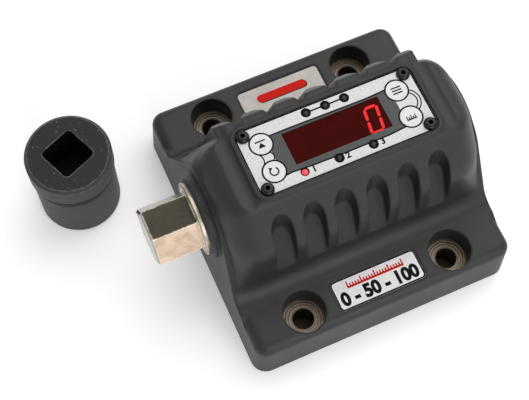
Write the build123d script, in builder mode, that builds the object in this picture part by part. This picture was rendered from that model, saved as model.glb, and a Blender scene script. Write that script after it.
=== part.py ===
from build123d import *
from math import cos, radians, sin, sqrt
import os

os.makedirs("parts", exist_ok=True)

# A bench torque wrench tester. X runs along the torque shaft, whose hexagon
# leaves the housing towards -X. The front label is on the -Y side. Z = 0 is the
# bench and the origin is the middle of the four bench bolts.

# Bench flange
base_length = 142.0
base_depth = 146.5
flange_height = 28.0
side_draft = 3.0
corner_radius = 8.0
flange_edge_radius = 5.5
bench_inset_side = 31.0
bench_inset_front = 14.0
bench_inset_rear = 16.5
bench_hole = 11.0
counterbore = 21.5
counterbore_seat = 15.0

# Hood over the shaft, as (Y, Z) corners of its section at the crease and at the ends
hood_top = 89.0
crease_margin = 6.5
rear_margin = 3.85
cheek_run = 14.0
cheek_rear_set = 7.0
valley_radius = 8.0
valley_depth = 1.4
valley_offset = 6.0
toe_start = -48.4
heel_end = 48.4
toe_ramp = 15.0
hood_root = 18.0
crown_brow = (-37.0, 64.0)
crown_front_foot = -38.5
crown_rear_drop = (5.0, 7.0)
crown_rear_foot = 45.0
crown_radii = [10.0, 30.0, 6.0, 4.0, 6.0, 4.0]
cheek_corners = [(-41.0, flange_height), (-19.5, 66.0), (-7.0, 75.5),
                 (4.0, 75.5), (17.0, 67.0), (45.5, flange_height)]
cheek_radii = [12.0, 20.0, 20.0, 20.0, 20.0, 4.0]
cheek_stations = [0.0, 28.0, 50.0, 68.0, 82.0]

# Flutes in the front face and ribs down the rear face
flute_count = 6
flute_margin = 6.0
flute_width = 11.0
flute_back = -26.0
flute_floor_high = (-26.8, 64.2)
flute_floor_low = (-37.9, 41.0)
flute_floor_fillet = 1.6
flute_foot = 37.0
rib_radius = 6.8
rib_land = 4.0
rib_groove_depth = 5.0
rib_foot_height = 6.0

# Torque shaft and its bearing
shaft_height = 50.0
hex_across_flats = 27.0
hex_length = 24.0
hex_chamfer = 1.0
collar_stand = 2.6
collar_diameter = 37.5
collar_thickness = 1.8
boss_diameter = 43.0
boss_edge = 1.2
journal_diameter = 32.0
gauge_diameter = 26.0
gauge_end = 30.0
gauge_fillet = 2.5
bush_outer = 38.0
bush_length = 20.0
seal_thickness = 3.0
running_clearance = 0.04
anchor_square = 24.0
square_corner = 3.0
anchor_diameter = 47.0
anchor_thickness = 16.0
anchor_screw_circle = 36.0
anchor_screw = 6.0
anchor_screw_head = 10.0
anchor_thread = 12.0
anchor_thread_gap = 1.0
square_clearance = 0.05

# Strain gauges on flats milled round the gauge length
gauge_station = -8.0
gauge_flat_length = 14.0
gauge_flat_depth = 0.5
gauge_patch = (10.0, 6.0, 0.25)
lead_size = (6.0, 0.8)

# Cavity inside the housing, as (Y, Z) corners
cavity_past_board = (1.0, 7.0)
cavity_board_gap = 1.5
cavity_ceiling = 84.0
cavity_front = -31.0
cavity_rear = 33.0
cavity_front_bends = (38.0, 62.0)
cavity_rear_bends = (30.0, 77.0)

# Display panel on top of the hood
panel_y = -1.45
panel_size = (91.0, 35.6)
panel_radius = 4.4
panel_thickness = 1.6
panel_clearance = 0.3
gasket_thickness = 0.6
gasket_inset = 0.3
rim_width = 2.0
rim_height = 0.8
rim_edge_radius = 0.5
rim_root = 3.0
panel_screw_inset = (4.0, 3.45)
panel_screw = 3.0
panel_screw_head = 6.6
panel_screw_dome = 2.2
panel_screw_length = 9.0
panel_screw_boss = 7.5
panel_screw_floor = 79.5
window_centre = (0.4, -1.15)
window_inset = 20.8
window_height = 17.0
window_lip = 1.6
window_lip_thickness = 0.9
window_fit = 0.15
window_sink = 0.2
opening_inset = (14.5, 1.6)
opening_shift = 0.65

# Keys, each pressed down against a switch
key_inset = 10.5
key_row_pitch = 15.1
key_diameter = 10.4
key_gap = 0.1
key_proud = 0.15
key_flange = 12.0
key_flange_thickness = 0.8
key_flange_gap = 0.1
key_well = 14.0
key_stem = 4.0
key_travel = 0.4
key_edge = 0.25
switch_size = (6.0, 6.0, 3.5)
plunger_diameter = 3.4
plunger_fit = 0.08
plunger_height = 1.2
plunger_depth = 0.6
switch_well_depth = 1.2

# Indicator lamps and digits
led_diameter = 3.2
led_fit = 0.15
led_dome = 0.5
led_round = 1.3
range_led_x = (-9.2, 0.7, 10.6)
range_led_y = 12.9
unit_led_x = (-22.2, -4.7, 12.8)
unit_led_y = -14.5
digit_size = (12.4, 18.6, 8.0)
digit_pitch = 12.6
digit_count = 4
digit_gap = 0.4

# Display board hung from pillars under the deck
board_thickness = 1.6
display_board_inset = (0.5, 0.3)
pillar_inset = 2.0
pillar_row_pitch = 12.5
pillar_diameter = 4.6
board_screw = 2.5
board_screw_head = (4.4, 1.4)
board_screw_length = 6.0
header_size = (20.0, 3.2, 5.0)
ribbon_x = -22.0
ribbon_y = 14.4
ribbon_size = (17.8, 0.9)

# Base cover and main board
cover_land = (9.0, 7.0)
cover_thickness = 2.5
cover_recess = 0.3
cover_radius = 5.0
cover_gap = 0.25
cover_screw_inset = 4.5
cover_screw = 3.0
cover_screw_head = 5.6
cover_screw_length = 9.0
main_board_gap = (3.0, 4.0)
main_board_height = 12.0
spacer_inset = (7.0, 5.0)
spacer_port_gap = 3.0
main_header_height = 8.5
lead_header_height = 5.0
spacer_diameter = 6.0
chip_sizes = ((12.0, 10.0, 2.4), (10.0, 8.0, 1.8), (7.0, 7.0, 1.4))
chip_places = ((20.0, 8.0), (0.0, -16.0), (18.0, -14.0))
capacitor_size = (6.3, 7.7)
capacitor_insets = ((9.0, -6.0), (9.0, 3.0), (17.0, -16.0))

# Plates in the top of the flange
plate_size = (46.6, 16.0)
plate_thickness = 0.6
plate_recess = 0.8
plate_radius = 2.4
plate_gap = 0.3
front_plate_inset = 13.8
rear_plate_inset = 17.5

# Connectors in the right-hand end, at the edge of the main board
port_depth = 8.0
port_clearance = 0.25
port_corner = 2.0
serial_place = (-12.0, 19.6)
serial_pocket = (33.0, 14.6)
serial_flange = (31.0, 12.6, 1.0)
serial_body = (19.0, 11.0, 18.0)
serial_shell = (18.4, 9.8, 5.4)
serial_wall = 0.5
serial_pin = 1.0
serial_pin_seat = 3.0
serial_pin_pitch = 2.76
serial_upper_count = 5
serial_lower_count = 4
serial_row_pitch = 2.84
serial_screw_pitch = 25.0
jackscrew_size = (5.0, 5.5)
power_place = (19.0, 19.1)
power_pocket = (12.0, 14.0)
power_body = (9.0, 11.0, 14.0)
power_stand = 2.5
power_bore = (6.4, 9.0)
power_pin = 2.1

# Square adaptor, stood on its socket end beside the tester
adaptor_place = (-117.0, 57.0)
adaptor_turn = -22.0
adaptor_height = 51.0
adaptor_collar = 43.8
adaptor_body = 42.0
adaptor_collar_length = 12.0
adaptor_groove = 2.4
adaptor_groove_depth = 1.2
adaptor_chamfer = 1.6
drive_square = 19.2
drive_depth = 22.0
drive_corner = 2.4
socket_clearance = 0.2
socket_depth = 24.0
detent_diameter = 4.5
detent_drop = 8.0

# Levels and places that follow from the sizes above
display_board_size = (panel_size[0] - 2 * display_board_inset[0], panel_size[1] - 2 * display_board_inset[1])
display_opening = (panel_size[0] - 2 * opening_inset[0], panel_size[1] - 2 * opening_inset[1])
display_opening_y = panel_y + opening_shift
window_size = (panel_size[0] - 2 * window_inset, window_height)
rim_reach = panel_size[1] / 2 + panel_clearance + rim_width
front_shoulder = panel_y - rim_reach
rear_shoulder = panel_y + rim_reach + rear_margin
hood_crease = panel_size[0] / 2 + crease_margin
flute_pitch = (2 * hood_crease - 2 * flute_margin - flute_width) / (flute_count - 1)
bench_spacing = (base_length - 2 * bench_inset_side, base_depth - bench_inset_front - bench_inset_rear)
base_y = (bench_inset_rear - bench_inset_front) / 2
front_plate_y = base_y - base_depth / 2 + front_plate_inset
rear_plate_y = base_y + base_depth / 2 - rear_plate_inset
port_floor = base_length / 2 - port_depth
cavity_left = -display_board_size[0] / 2 - cavity_past_board[0]
cavity_right = display_board_size[0] / 2 + cavity_past_board[1]
cavity_neck_front = panel_y - display_board_size[1] / 2 - cavity_board_gap
cavity_neck_rear = panel_y + display_board_size[1] / 2 + cavity_board_gap
cavity_size = (cavity_right - cavity_left, cavity_rear - cavity_front)
cavity_centre = ((cavity_left + cavity_right) / 2, (cavity_front + cavity_rear) / 2)
main_board_size = (cavity_size[0] - 2 * main_board_gap[0], cavity_size[1] - 2 * main_board_gap[1])
main_board_left = cavity_left + main_board_gap[0]
cover_size = (cavity_size[0] + 2 * cover_land[0], cavity_size[1] + 2 * cover_land[1])
journal_end = cavity_left
collar_face = -base_length / 2 - collar_stand
boss_face = collar_face + collar_thickness
hex_tip = collar_face - hex_length
gauge_centre = (journal_end + gauge_end) / 2
anchor_face = cavity_right - anchor_thickness
panel_bottom = hood_top - panel_thickness
deck_top = panel_bottom - gasket_thickness
rim_top = hood_top + rim_height
digit_top = panel_bottom - window_lip_thickness - digit_gap
display_board_top = digit_top - digit_size[2]
display_board_bottom = display_board_top - board_thickness
switch_top = display_board_top + switch_size[2]
key_stem_bottom = switch_top + plunger_height
key_flange_top = panel_bottom - key_flange_gap
key_top = hood_top + key_proud
cover_top = cover_recess + cover_thickness
main_board_top = main_board_height + board_thickness
plate_seat = flange_height - plate_recess
serial_body_back = port_floor - serial_body[2]
power_back = port_floor + power_stand - power_body[2]

# Corners of the crown's section, of the cheek's section where it leaves the crown, and of
# the cavity, as (Y, Z)
crown_corners = [(crown_front_foot, flange_height), crown_brow, (front_shoulder, hood_top),
                 (rear_shoulder, hood_top),
                 (rear_shoulder + crown_rear_drop[0], hood_top - crown_rear_drop[1]),
                 (crown_rear_foot, flange_height)]
crease_corners = crown_corners[:3] + [(y - cheek_rear_set, z) for y, z in crown_corners[3:5]] + crown_corners[5:]
cavity_corners = [(cavity_front, 0), (cavity_front, cavity_front_bends[0]),
                  (cavity_neck_front, cavity_front_bends[1]), (cavity_neck_front, cavity_ceiling),
                  (cavity_neck_rear, cavity_ceiling), (cavity_neck_rear, cavity_rear_bends[1]),
                  (cavity_rear, cavity_rear_bends[0]), (cavity_rear, 0)]


def corners_of(centre, spacing):
    """The four points of a rectangle of this spacing about a centre."""
    return [(centre[0] + sx * spacing[0] / 2, centre[1] + sy * spacing[1] / 2)
            for sx in (-1, 1) for sy in (-1, 1)]


panel_centre = (0.0, panel_y)
panel_screw_points = corners_of(panel_centre, (panel_size[0] - 2 * panel_screw_inset[0],
                                               panel_size[1] - 2 * panel_screw_inset[1]))
pillar_points = corners_of(panel_centre, (display_board_size[0] - 2 * pillar_inset, pillar_row_pitch))
key_points = corners_of((0.0, window_centre[1]), (panel_size[0] - 2 * key_inset, key_row_pitch))
range_led_points = [(x, range_led_y) for x in range_led_x]
unit_led_points = [(x, unit_led_y) for x in unit_led_x]
spacer_rows = (main_board_left + spacer_inset[0], serial_body_back - spacer_port_gap)
spacer_points = corners_of((sum(spacer_rows) / 2, cavity_centre[1]),
                           (spacer_rows[1] - spacer_rows[0], main_board_size[1] - 2 * spacer_inset[1]))
cover_screw_span = (cover_size[0] - 2 * cover_screw_inset, cover_size[1] - 2 * cover_screw_inset)
cover_screw_points = corners_of(cavity_centre, cover_screw_span) + corners_of(cavity_centre, (0, cover_screw_span[1]))[:2]


def across_shaft(x):
    """The plane across the shaft at X = x, with its origin on the shaft axis."""
    return Plane(origin=(x, 0, shaft_height), x_dir=(0, 1, 0), z_dir=(1, 0, 0))


def mixed(start, end, share):
    """A value that is start at share 0 and end at share 1."""
    return start + (end - start) * share


def cheek_outline(share):
    """Draws the cheek's section, from the crease at share 0 to the end arch at share 1."""
    corners = [(mixed(c[0], e[0], share), mixed(c[1], e[1], share))
               for c, e in zip(crease_corners, cheek_corners)]
    hood_outline(corners, [mixed(c, e, share) for c, e in zip(crown_radii, cheek_radii)])


def hood_outline(corners, radii):
    """Draws a section of the hood over its rounded corners, down to its root in the flange."""
    FilletPolyline((toe_start, flange_height), *corners, (heel_end, flange_height), radius=radii)
    Polyline((heel_end, flange_height), (heel_end + toe_ramp, hood_root), (toe_start - toe_ramp, hood_root),
             (toe_start, flange_height))


# The hood and its cheeks, trimmed by the drafted envelope of the whole casting
with BuildPart() as envelope:
    with BuildSketch():
        with Locations((0, base_y)):
            RectangleRounded(base_length, base_depth, corner_radius)
    extrude(amount=rim_top, taper=side_draft)

with BuildPart() as hood:
    with BuildSketch(Plane.YZ.offset(-hood_crease)):
        with BuildLine():
            hood_outline(crown_corners, crown_radii)
        make_face()
    extrude(amount=2 * hood_crease)
    for angle in cheek_stations:
        with BuildSketch(Plane.YZ.offset(hood_crease + cheek_run * sin(radians(angle)))):
            with BuildLine():
                cheek_outline(1.0 - cos(radians(angle)))
            make_face()
    loft()
    with BuildSketch(Plane.YZ.offset(hood_crease + cheek_run * sin(radians(cheek_stations[-1])))):
        with BuildLine():
            cheek_outline(1.0 - cos(radians(cheek_stations[-1])))
        make_face()
    extrude(amount=base_length / 2)
    mirror(about=Plane.YZ)
    add(envelope.part, mode=Mode.INTERSECT)

# Flute cutters: vertical round-ended slots that stop at the sloping flute floor,
# which runs out through the wall above the foot of the hood
floor_run = flute_floor_high[0] - flute_floor_low[0]
floor_rise = flute_floor_high[1] - flute_floor_low[1]
with BuildPart() as flutes:
    with BuildSketch(Plane.XY.offset(flute_foot)):
        with GridLocations(flute_pitch, 0, flute_count, 1):
            with Locations((0, flute_back - flute_width / 2)):
                Circle(flute_width / 2)
                Rectangle(flute_width, base_depth, align=(Align.CENTER, Align.MAX))
    extrude(amount=hood_top)
    flute_floor = Plane(origin=(0, *flute_floor_low), x_dir=(1, 0, 0), z_dir=(0, -floor_rise, floor_run))
    split(bisect_by=flute_floor)
    floor_faces = flutes.faces().filter_by(flute_floor)
    fillet(floor_faces.edges().filter_by(lambda edge: (edge @ 0.5).Z > flute_foot + 1), flute_floor_fillet)

# Rib grooves run up the sloping rear wall, each between two round ribs
rear_bend, rear_foot = crown_corners[4], crown_corners[5]
rear_run = rear_bend[0] - rear_foot[0]
rear_rise = rear_bend[1] - rear_foot[1]
rib_centre_depth = sqrt(rib_radius ** 2 - (rib_land / 2) ** 2)
rib_foot = (rear_foot[0] + rear_run * rib_foot_height / rear_rise, rear_foot[1] + rib_foot_height)
with BuildPart() as rib_grooves:
    with BuildSketch(Plane(origin=(0, *rib_foot), x_dir=(1, 0, 0), z_dir=(0, rear_run, rear_rise))):
        with GridLocations(flute_pitch, 0, flute_count + 2, 1):
            Rectangle(flute_pitch, 2 * rib_groove_depth)
        with GridLocations(flute_pitch, 0, flute_count + 1, 1):
            with Locations((0, -rib_centre_depth)):
                Circle(rib_radius, mode=Mode.SUBTRACT)
    extrude(amount=hood_top)

# Shallow valleys between the panel's rim and the cheeks
with BuildPart() as valleys:
    with BuildSketch(Plane.XZ.offset(base_depth)):
        with Locations((0, hood_top + valley_radius - valley_depth)):
            with GridLocations(panel_size[0] + 2 * valley_offset, 1, 2, 1):
                Circle(valley_radius)
    extrude(amount=-2 * base_depth)

with BuildPart() as cavity:
    with BuildSketch(Plane.YZ.offset(cavity_left)):
        with BuildLine():
            Polyline(*cavity_corners, close=True)
        make_face()
    extrude(amount=cavity_right - cavity_left)

with BuildPart() as housing:
    with BuildSketch():
        with Locations((0, base_y)):
            RectangleRounded(base_length, base_depth, corner_radius)
    extrude(amount=flange_height, taper=side_draft)
    fillet(housing.faces().sort_by(Axis.Z)[-1].edges(), flange_edge_radius)
    add(hood.part)
    # Boss round the shaft
    with BuildSketch(across_shaft(boss_face)):
        Circle(boss_diameter / 2)
    extrude(amount=journal_end - boss_face)
    chamfer(housing.faces().sort_by(Axis.X)[0].edges(), boss_edge)
    add(flutes.part, mode=Mode.SUBTRACT)
    add(rib_grooves.part, mode=Mode.SUBTRACT)
    add(valleys.part, mode=Mode.SUBTRACT)
    # Rim round the display panel
    with BuildSketch(Plane.XY.offset(hood_top - rim_root)):
        with Locations(panel_centre):
            RectangleRounded(panel_size[0] + 2 * (panel_clearance + rim_width),
                             panel_size[1] + 2 * (panel_clearance + rim_width),
                             panel_radius + panel_clearance + rim_width)
    extrude(amount=rim_root + rim_height)
    fillet(housing.faces().sort_by(Axis.Z)[-1].edges(), rim_edge_radius)
    # Cavity, with its screw bosses and the pillars of the display board
    add(cavity.part, mode=Mode.SUBTRACT)
    with BuildSketch(Plane.XY.offset(cavity_ceiling)):
        with Locations(*panel_screw_points):
            Circle(panel_screw_boss / 2)
    extrude(amount=panel_screw_floor - cavity_ceiling)
    with BuildSketch(Plane.XY.offset(cavity_ceiling)):
        with Locations(*pillar_points):
            Circle(pillar_diameter / 2)
    extrude(amount=display_board_top - cavity_ceiling)
    with BuildSketch(Plane.XY.offset(display_board_top)):
        with Locations(*pillar_points):
            Circle(board_screw / 2)
    extrude(amount=board_screw_length, mode=Mode.SUBTRACT)
    # Pocket for the panel, its opening, the key wells and the tapped holes
    with BuildSketch(Plane.XY.offset(deck_top)):
        with Locations(panel_centre):
            RectangleRounded(panel_size[0] + 2 * panel_clearance, panel_size[1] + 2 * panel_clearance,
                             panel_radius + panel_clearance)
    extrude(amount=hood_top, mode=Mode.SUBTRACT)
    with BuildSketch(Plane.XY.offset(cavity_ceiling)):
        with Locations((0, display_opening_y)):
            Rectangle(*display_opening)
        with Locations(*key_points):
            Circle(key_well / 2)
    extrude(amount=hood_top, mode=Mode.SUBTRACT)
    with BuildSketch(Plane.XY.offset(panel_screw_floor)):
        with Locations(*panel_screw_points):
            Circle(panel_screw / 2)
    extrude(amount=hood_top, mode=Mode.SUBTRACT)
    # Bearing bore and the tapped holes of the anchor
    with BuildSketch(across_shaft(boss_face)):
        Circle(bush_outer / 2)
    extrude(amount=cavity_left - boss_face, mode=Mode.SUBTRACT)
    with BuildSketch(across_shaft(cavity_right)):
        with PolarLocations(anchor_screw_circle / 2, 4):
            Circle(anchor_screw / 2)
    extrude(amount=anchor_thread, mode=Mode.SUBTRACT)
    # Bench bolt holes with their counterbores
    with BuildSketch():
        with GridLocations(*bench_spacing, 2, 2):
            Circle(bench_hole / 2)
    extrude(amount=hood_top, mode=Mode.SUBTRACT)
    with BuildSketch(Plane.XY.offset(counterbore_seat)):
        with GridLocations(*bench_spacing, 2, 2):
            Circle(counterbore / 2)
    extrude(amount=hood_top, mode=Mode.SUBTRACT)
    # Recesses for the two plates
    with BuildSketch(Plane.XY.offset(plate_seat)):
        with Locations((0, front_plate_y), (0, rear_plate_y)):
            RectangleRounded(plate_size[0] + 2 * plate_gap, plate_size[1] + 2 * plate_gap,
                             plate_radius + plate_gap)
    extrude(amount=2 * plate_recess, mode=Mode.SUBTRACT)
    # Recess for the base cover and its tapped holes
    with BuildSketch():
        with Locations(cavity_centre):
            RectangleRounded(cover_size[0] + 2 * cover_gap, cover_size[1] + 2 * cover_gap,
                             cover_radius + cover_gap)
    extrude(amount=cover_top, mode=Mode.SUBTRACT)
    with BuildSketch():
        with Locations(*cover_screw_points):
            Circle(cover_screw / 2)
    extrude(amount=cover_recess + cover_screw_length, mode=Mode.SUBTRACT)
    # Connector pockets in the end and their passages to the cavity
    with BuildSketch(Plane.YZ.offset(port_floor)):
        with Locations(serial_place):
            RectangleRounded(*serial_pocket, port_corner)
        with Locations(power_place):
            RectangleRounded(*power_pocket, port_corner)
    extrude(amount=base_length, mode=Mode.SUBTRACT)
    with BuildSketch(Plane.YZ.offset(port_floor)):
        with Locations(serial_place):
            Rectangle(serial_body[0] + 2 * port_clearance, serial_body[1] + 2 * port_clearance)
        with Locations(power_place):
            Rectangle(power_body[0] + 2 * port_clearance, power_body[1] + 2 * port_clearance)
    extrude(amount=cavity_right - port_floor, mode=Mode.SUBTRACT)
    with BuildSketch(Plane.YZ.offset(port_floor)):
        with Locations(serial_place):
            with GridLocations(serial_screw_pitch, 1, 2, 1):
                Circle(panel_screw / 2)
    extrude(amount=-jackscrew_size[1], mode=Mode.SUBTRACT)
housing.part.label = "housing"
export_step(housing.part, "parts/housing.step")

# Cover and boards
with BuildPart() as base_cover:
    with BuildSketch(Plane.XY.offset(cover_recess)):
        with Locations(cavity_centre):
            RectangleRounded(*cover_size, cover_radius)
    extrude(amount=cover_thickness)
    with Locations(Plane.XY.offset(cover_recess)):
        with Locations(*cover_screw_points):
            with Locations(Rotation(180, 0, 0)):
                CounterSinkHole(cover_screw / 2, cover_screw_head / 2)
base_cover.part.label = "base_cover"
export_step(base_cover.part, "parts/base_cover.step")

with BuildPart() as base_cover_screws:
    with BuildSketch(Plane.XY.offset(cover_recess)):
        with Locations(*cover_screw_points):
            Circle(cover_screw_head / 2)
    extrude(amount=(cover_screw_head - cover_screw) / 2, taper=45)
    with BuildSketch(Plane.XY.offset(cover_recess)):
        with Locations(*cover_screw_points):
            Circle(cover_screw / 2)
    extrude(amount=cover_screw_length)
base_cover_screws.part.label = "base_cover_screws"
export_step(base_cover_screws.part, "parts/base_cover_screws.step")

with BuildPart() as board_spacers:
    with BuildSketch(Plane.XY.offset(cover_top)):
        with Locations(*spacer_points):
            Circle(spacer_diameter / 2)
            Circle(panel_screw / 2, mode=Mode.SUBTRACT)
    extrude(amount=main_board_height - cover_top)
board_spacers.part.label = "board_spacers"
export_step(board_spacers.part, "parts/board_spacers.step")

with BuildPart() as main_board:
    with BuildSketch(Plane.XY.offset(main_board_height)):
        with Locations(cavity_centre):
            Rectangle(*main_board_size)
        with Locations(*spacer_points):
            Circle(panel_screw / 2, mode=Mode.SUBTRACT)
    extrude(amount=board_thickness)
main_board.part.label = "main_board"
export_step(main_board.part, "parts/main_board.step")

with BuildPart() as main_board_screws:
    with BuildSketch(Plane.XY.offset(main_board_top)):
        with Locations(*spacer_points):
            Circle(cover_screw_head / 2)
    extrude(amount=board_screw_head[1])
    with BuildSketch(Plane.XY.offset(main_board_top)):
        with Locations(*spacer_points):
            Circle(panel_screw / 2)
    extrude(amount=-board_screw_length)
main_board_screws.part.label = "main_board_screws"
export_step(main_board_screws.part, "parts/main_board_screws.step")

with BuildPart() as main_board_chips:
    for size, place in zip(chip_sizes, chip_places):
        with BuildSketch(Plane.XY.offset(main_board_top)):
            with Locations(place):
                Rectangle(size[0], size[1])
        extrude(amount=size[2])
main_board_chips.part.label = "main_board_chips"
export_step(main_board_chips.part, "parts/main_board_chips.step")

with BuildPart() as capacitors:
    with BuildSketch(Plane.XY.offset(main_board_top)):
        with Locations(*[(main_board_left + inset, y) for inset, y in capacitor_insets]):
            Circle(capacitor_size[0] / 2)
    extrude(amount=capacitor_size[1])
capacitors.part.label = "capacitors"
export_step(capacitors.part, "parts/capacitors.step")

with BuildPart() as main_header:
    with BuildSketch(Plane.XY.offset(main_board_top)):
        with Locations((ribbon_x, ribbon_y)):
            Rectangle(header_size[0], header_size[1])
    extrude(amount=main_header_height)
main_header.part.label = "main_header"
export_step(main_header.part, "parts/main_header.step")

with BuildPart() as display_board:
    with BuildSketch(Plane.XY.offset(display_board_bottom)):
        with Locations(panel_centre):
            Rectangle(*display_board_size)
        with Locations(*pillar_points):
            Circle(board_screw / 2, mode=Mode.SUBTRACT)
    extrude(amount=board_thickness)
display_board.part.label = "display_board"
export_step(display_board.part, "parts/display_board.step")

with BuildPart() as display_board_screws:
    with BuildSketch(Plane.XY.offset(display_board_bottom)):
        with Locations(*pillar_points):
            Circle(board_screw_head[0] / 2)
    extrude(amount=-board_screw_head[1])
    with BuildSketch(Plane.XY.offset(display_board_bottom)):
        with Locations(*pillar_points):
            Circle(board_screw / 2)
    extrude(amount=board_screw_length)
display_board_screws.part.label = "display_board_screws"
export_step(display_board_screws.part, "parts/display_board_screws.step")

with BuildPart() as display_header:
    with BuildSketch(Plane.XY.offset(display_board_bottom)):
        with Locations((ribbon_x, ribbon_y)):
            Rectangle(header_size[0], header_size[1])
    extrude(amount=-header_size[2])
display_header.part.label = "display_header"
export_step(display_header.part, "parts/display_header.step")

with BuildPart() as ribbon_cable:
    with BuildSketch(Plane.XY.offset(main_board_top + main_header_height)):
        with Locations((ribbon_x, ribbon_y)):
            Rectangle(*ribbon_size)
    extrude(amount=display_board_bottom - header_size[2] - main_board_top - main_header_height)
ribbon_cable.part.label = "ribbon_cable"
export_step(ribbon_cable.part, "parts/ribbon_cable.step")

with BuildPart() as digit_modules:
    with BuildSketch(Plane.XY.offset(display_board_top)):
        with Locations(window_centre):
            with GridLocations(digit_pitch, 1, digit_count, 1):
                Rectangle(digit_size[0], digit_size[1])
    extrude(amount=digit_size[2])
digit_modules.part.label = "digit_modules"
export_step(digit_modules.part, "parts/digit_modules.step")


def indicator_lamps(name, points):
    """Writes one row of domed lamps that stand on the display board."""
    with BuildPart() as lamps:
        with BuildSketch(Plane.XY.offset(display_board_top)):
            with Locations(*points):
                Circle(led_diameter / 2)
        extrude(amount=hood_top + led_dome - display_board_top)
        fillet(lamps.faces().group_by(Axis.Z)[-1].edges(), led_round)
    lamps.part.label = name
    export_step(lamps.part, f"parts/{name}.step")


indicator_lamps("range_leds", range_led_points)
indicator_lamps("lit_unit_led", unit_led_points[:1])
indicator_lamps("unit_leds", unit_led_points[1:])

with BuildPart() as key_switches:
    with BuildSketch(Plane.XY.offset(display_board_top)):
        with Locations(*key_points):
            Rectangle(switch_size[0], switch_size[1])
    extrude(amount=switch_size[2])
    with BuildSketch(Plane.XY.offset(switch_top)):
        with Locations(*key_points):
            Circle(plunger_diameter / 2 + plunger_fit)
    extrude(amount=-switch_well_depth, mode=Mode.SUBTRACT)
key_switches.part.label = "key_switches"
export_step(key_switches.part, "parts/key_switches.step")

# Keys and their plungers, one body for each key
for name, point in zip(("reset", "limit", "unit", "mode"), key_points):
    with BuildPart() as key:
        with BuildSketch(Plane.XY.offset(key_stem_bottom)):
            with Locations(point):
                Circle(key_stem / 2)
        extrude(amount=key_flange_top - key_stem_bottom)
        with BuildSketch(Plane.XY.offset(key_flange_top - key_flange_thickness)):
            with Locations(point):
                Circle(key_flange / 2)
        extrude(amount=key_flange_thickness)
        with BuildSketch(Plane.XY.offset(key_flange_top)):
            with Locations(point):
                Circle(key_diameter / 2)
        extrude(amount=key_top - key_flange_top)
        fillet(key.faces().sort_by(Axis.Z)[-1].edges(), key_edge)
    key.part.label = f"{name}_key"
    export_step(key.part, f"parts/{name}_key.step")

    with BuildPart() as plunger:
        with BuildSketch(Plane.XY.offset(switch_top - plunger_depth)):
            with Locations(point):
                Circle(plunger_diameter / 2)
        extrude(amount=plunger_depth + plunger_height)
    plunger.part.label = f"{name}_plunger"
    export_step(plunger.part, f"parts/{name}_plunger.step")

# Display panel and what holds it
with BuildPart() as panel_gasket:
    with BuildSketch(Plane.XY.offset(deck_top)):
        with Locations(panel_centre):
            RectangleRounded(panel_size[0] - 2 * gasket_inset, panel_size[1] - 2 * gasket_inset, panel_radius)
        with Locations((0, display_opening_y)):
            Rectangle(*display_opening, mode=Mode.SUBTRACT)
        with Locations(*key_points):
            Circle(key_well / 2, mode=Mode.SUBTRACT)
        with Locations(*panel_screw_points):
            Circle(panel_screw / 2, mode=Mode.SUBTRACT)
    extrude(amount=gasket_thickness)
panel_gasket.part.label = "panel_gasket"
export_step(panel_gasket.part, "parts/panel_gasket.step")

with BuildPart() as display_panel:
    with BuildSketch(Plane.XY.offset(panel_bottom)):
        with Locations(panel_centre):
            RectangleRounded(*panel_size, panel_radius)
        with Locations(window_centre):
            Rectangle(*window_size, mode=Mode.SUBTRACT)
        with Locations(*key_points):
            Circle(key_diameter / 2 + key_gap, mode=Mode.SUBTRACT)
        with Locations(*range_led_points, *unit_led_points):
            Circle(led_diameter / 2 + led_fit, mode=Mode.SUBTRACT)
        with Locations(*panel_screw_points):
            Circle(panel_screw / 2, mode=Mode.SUBTRACT)
    extrude(amount=panel_thickness)
display_panel.part.label = "display_panel"
export_step(display_panel.part, "parts/display_panel.step")

with BuildPart() as display_window:
    with BuildSketch(Plane.XY.offset(panel_bottom)):
        with Locations(window_centre):
            Rectangle(window_size[0] - 2 * window_fit, window_size[1] - 2 * window_fit)
    extrude(amount=panel_thickness - window_sink)
    with BuildSketch(Plane.XY.offset(panel_bottom)):
        with Locations(window_centre):
            Rectangle(window_size[0] + 2 * window_lip, window_size[1] + 2 * window_lip)
    extrude(amount=-window_lip_thickness)
display_window.part.label = "display_window"
export_step(display_window.part, "parts/display_window.step")

with BuildPart() as panel_screws:
    with BuildSketch(Plane.XY.offset(hood_top)):
        with Locations(*panel_screw_points):
            Circle(panel_screw_head / 2)
    extrude(amount=panel_screw_dome)
    fillet(panel_screws.faces().group_by(Axis.Z)[-1].edges(), panel_screw_dome - 0.4)
    with BuildSketch(Plane.XY.offset(hood_top)):
        with Locations(*panel_screw_points):
            Circle(panel_screw / 2)
    extrude(amount=-panel_screw_length)
    with BuildSketch(Plane.XY.offset(hood_top + panel_screw_dome)):
        with Locations(*panel_screw_points):
            RegularPolygon(1.1, 6)
    extrude(amount=-1.2, mode=Mode.SUBTRACT)
panel_screws.part.label = "panel_screws"
export_step(panel_screws.part, "parts/panel_screws.step")

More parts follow.
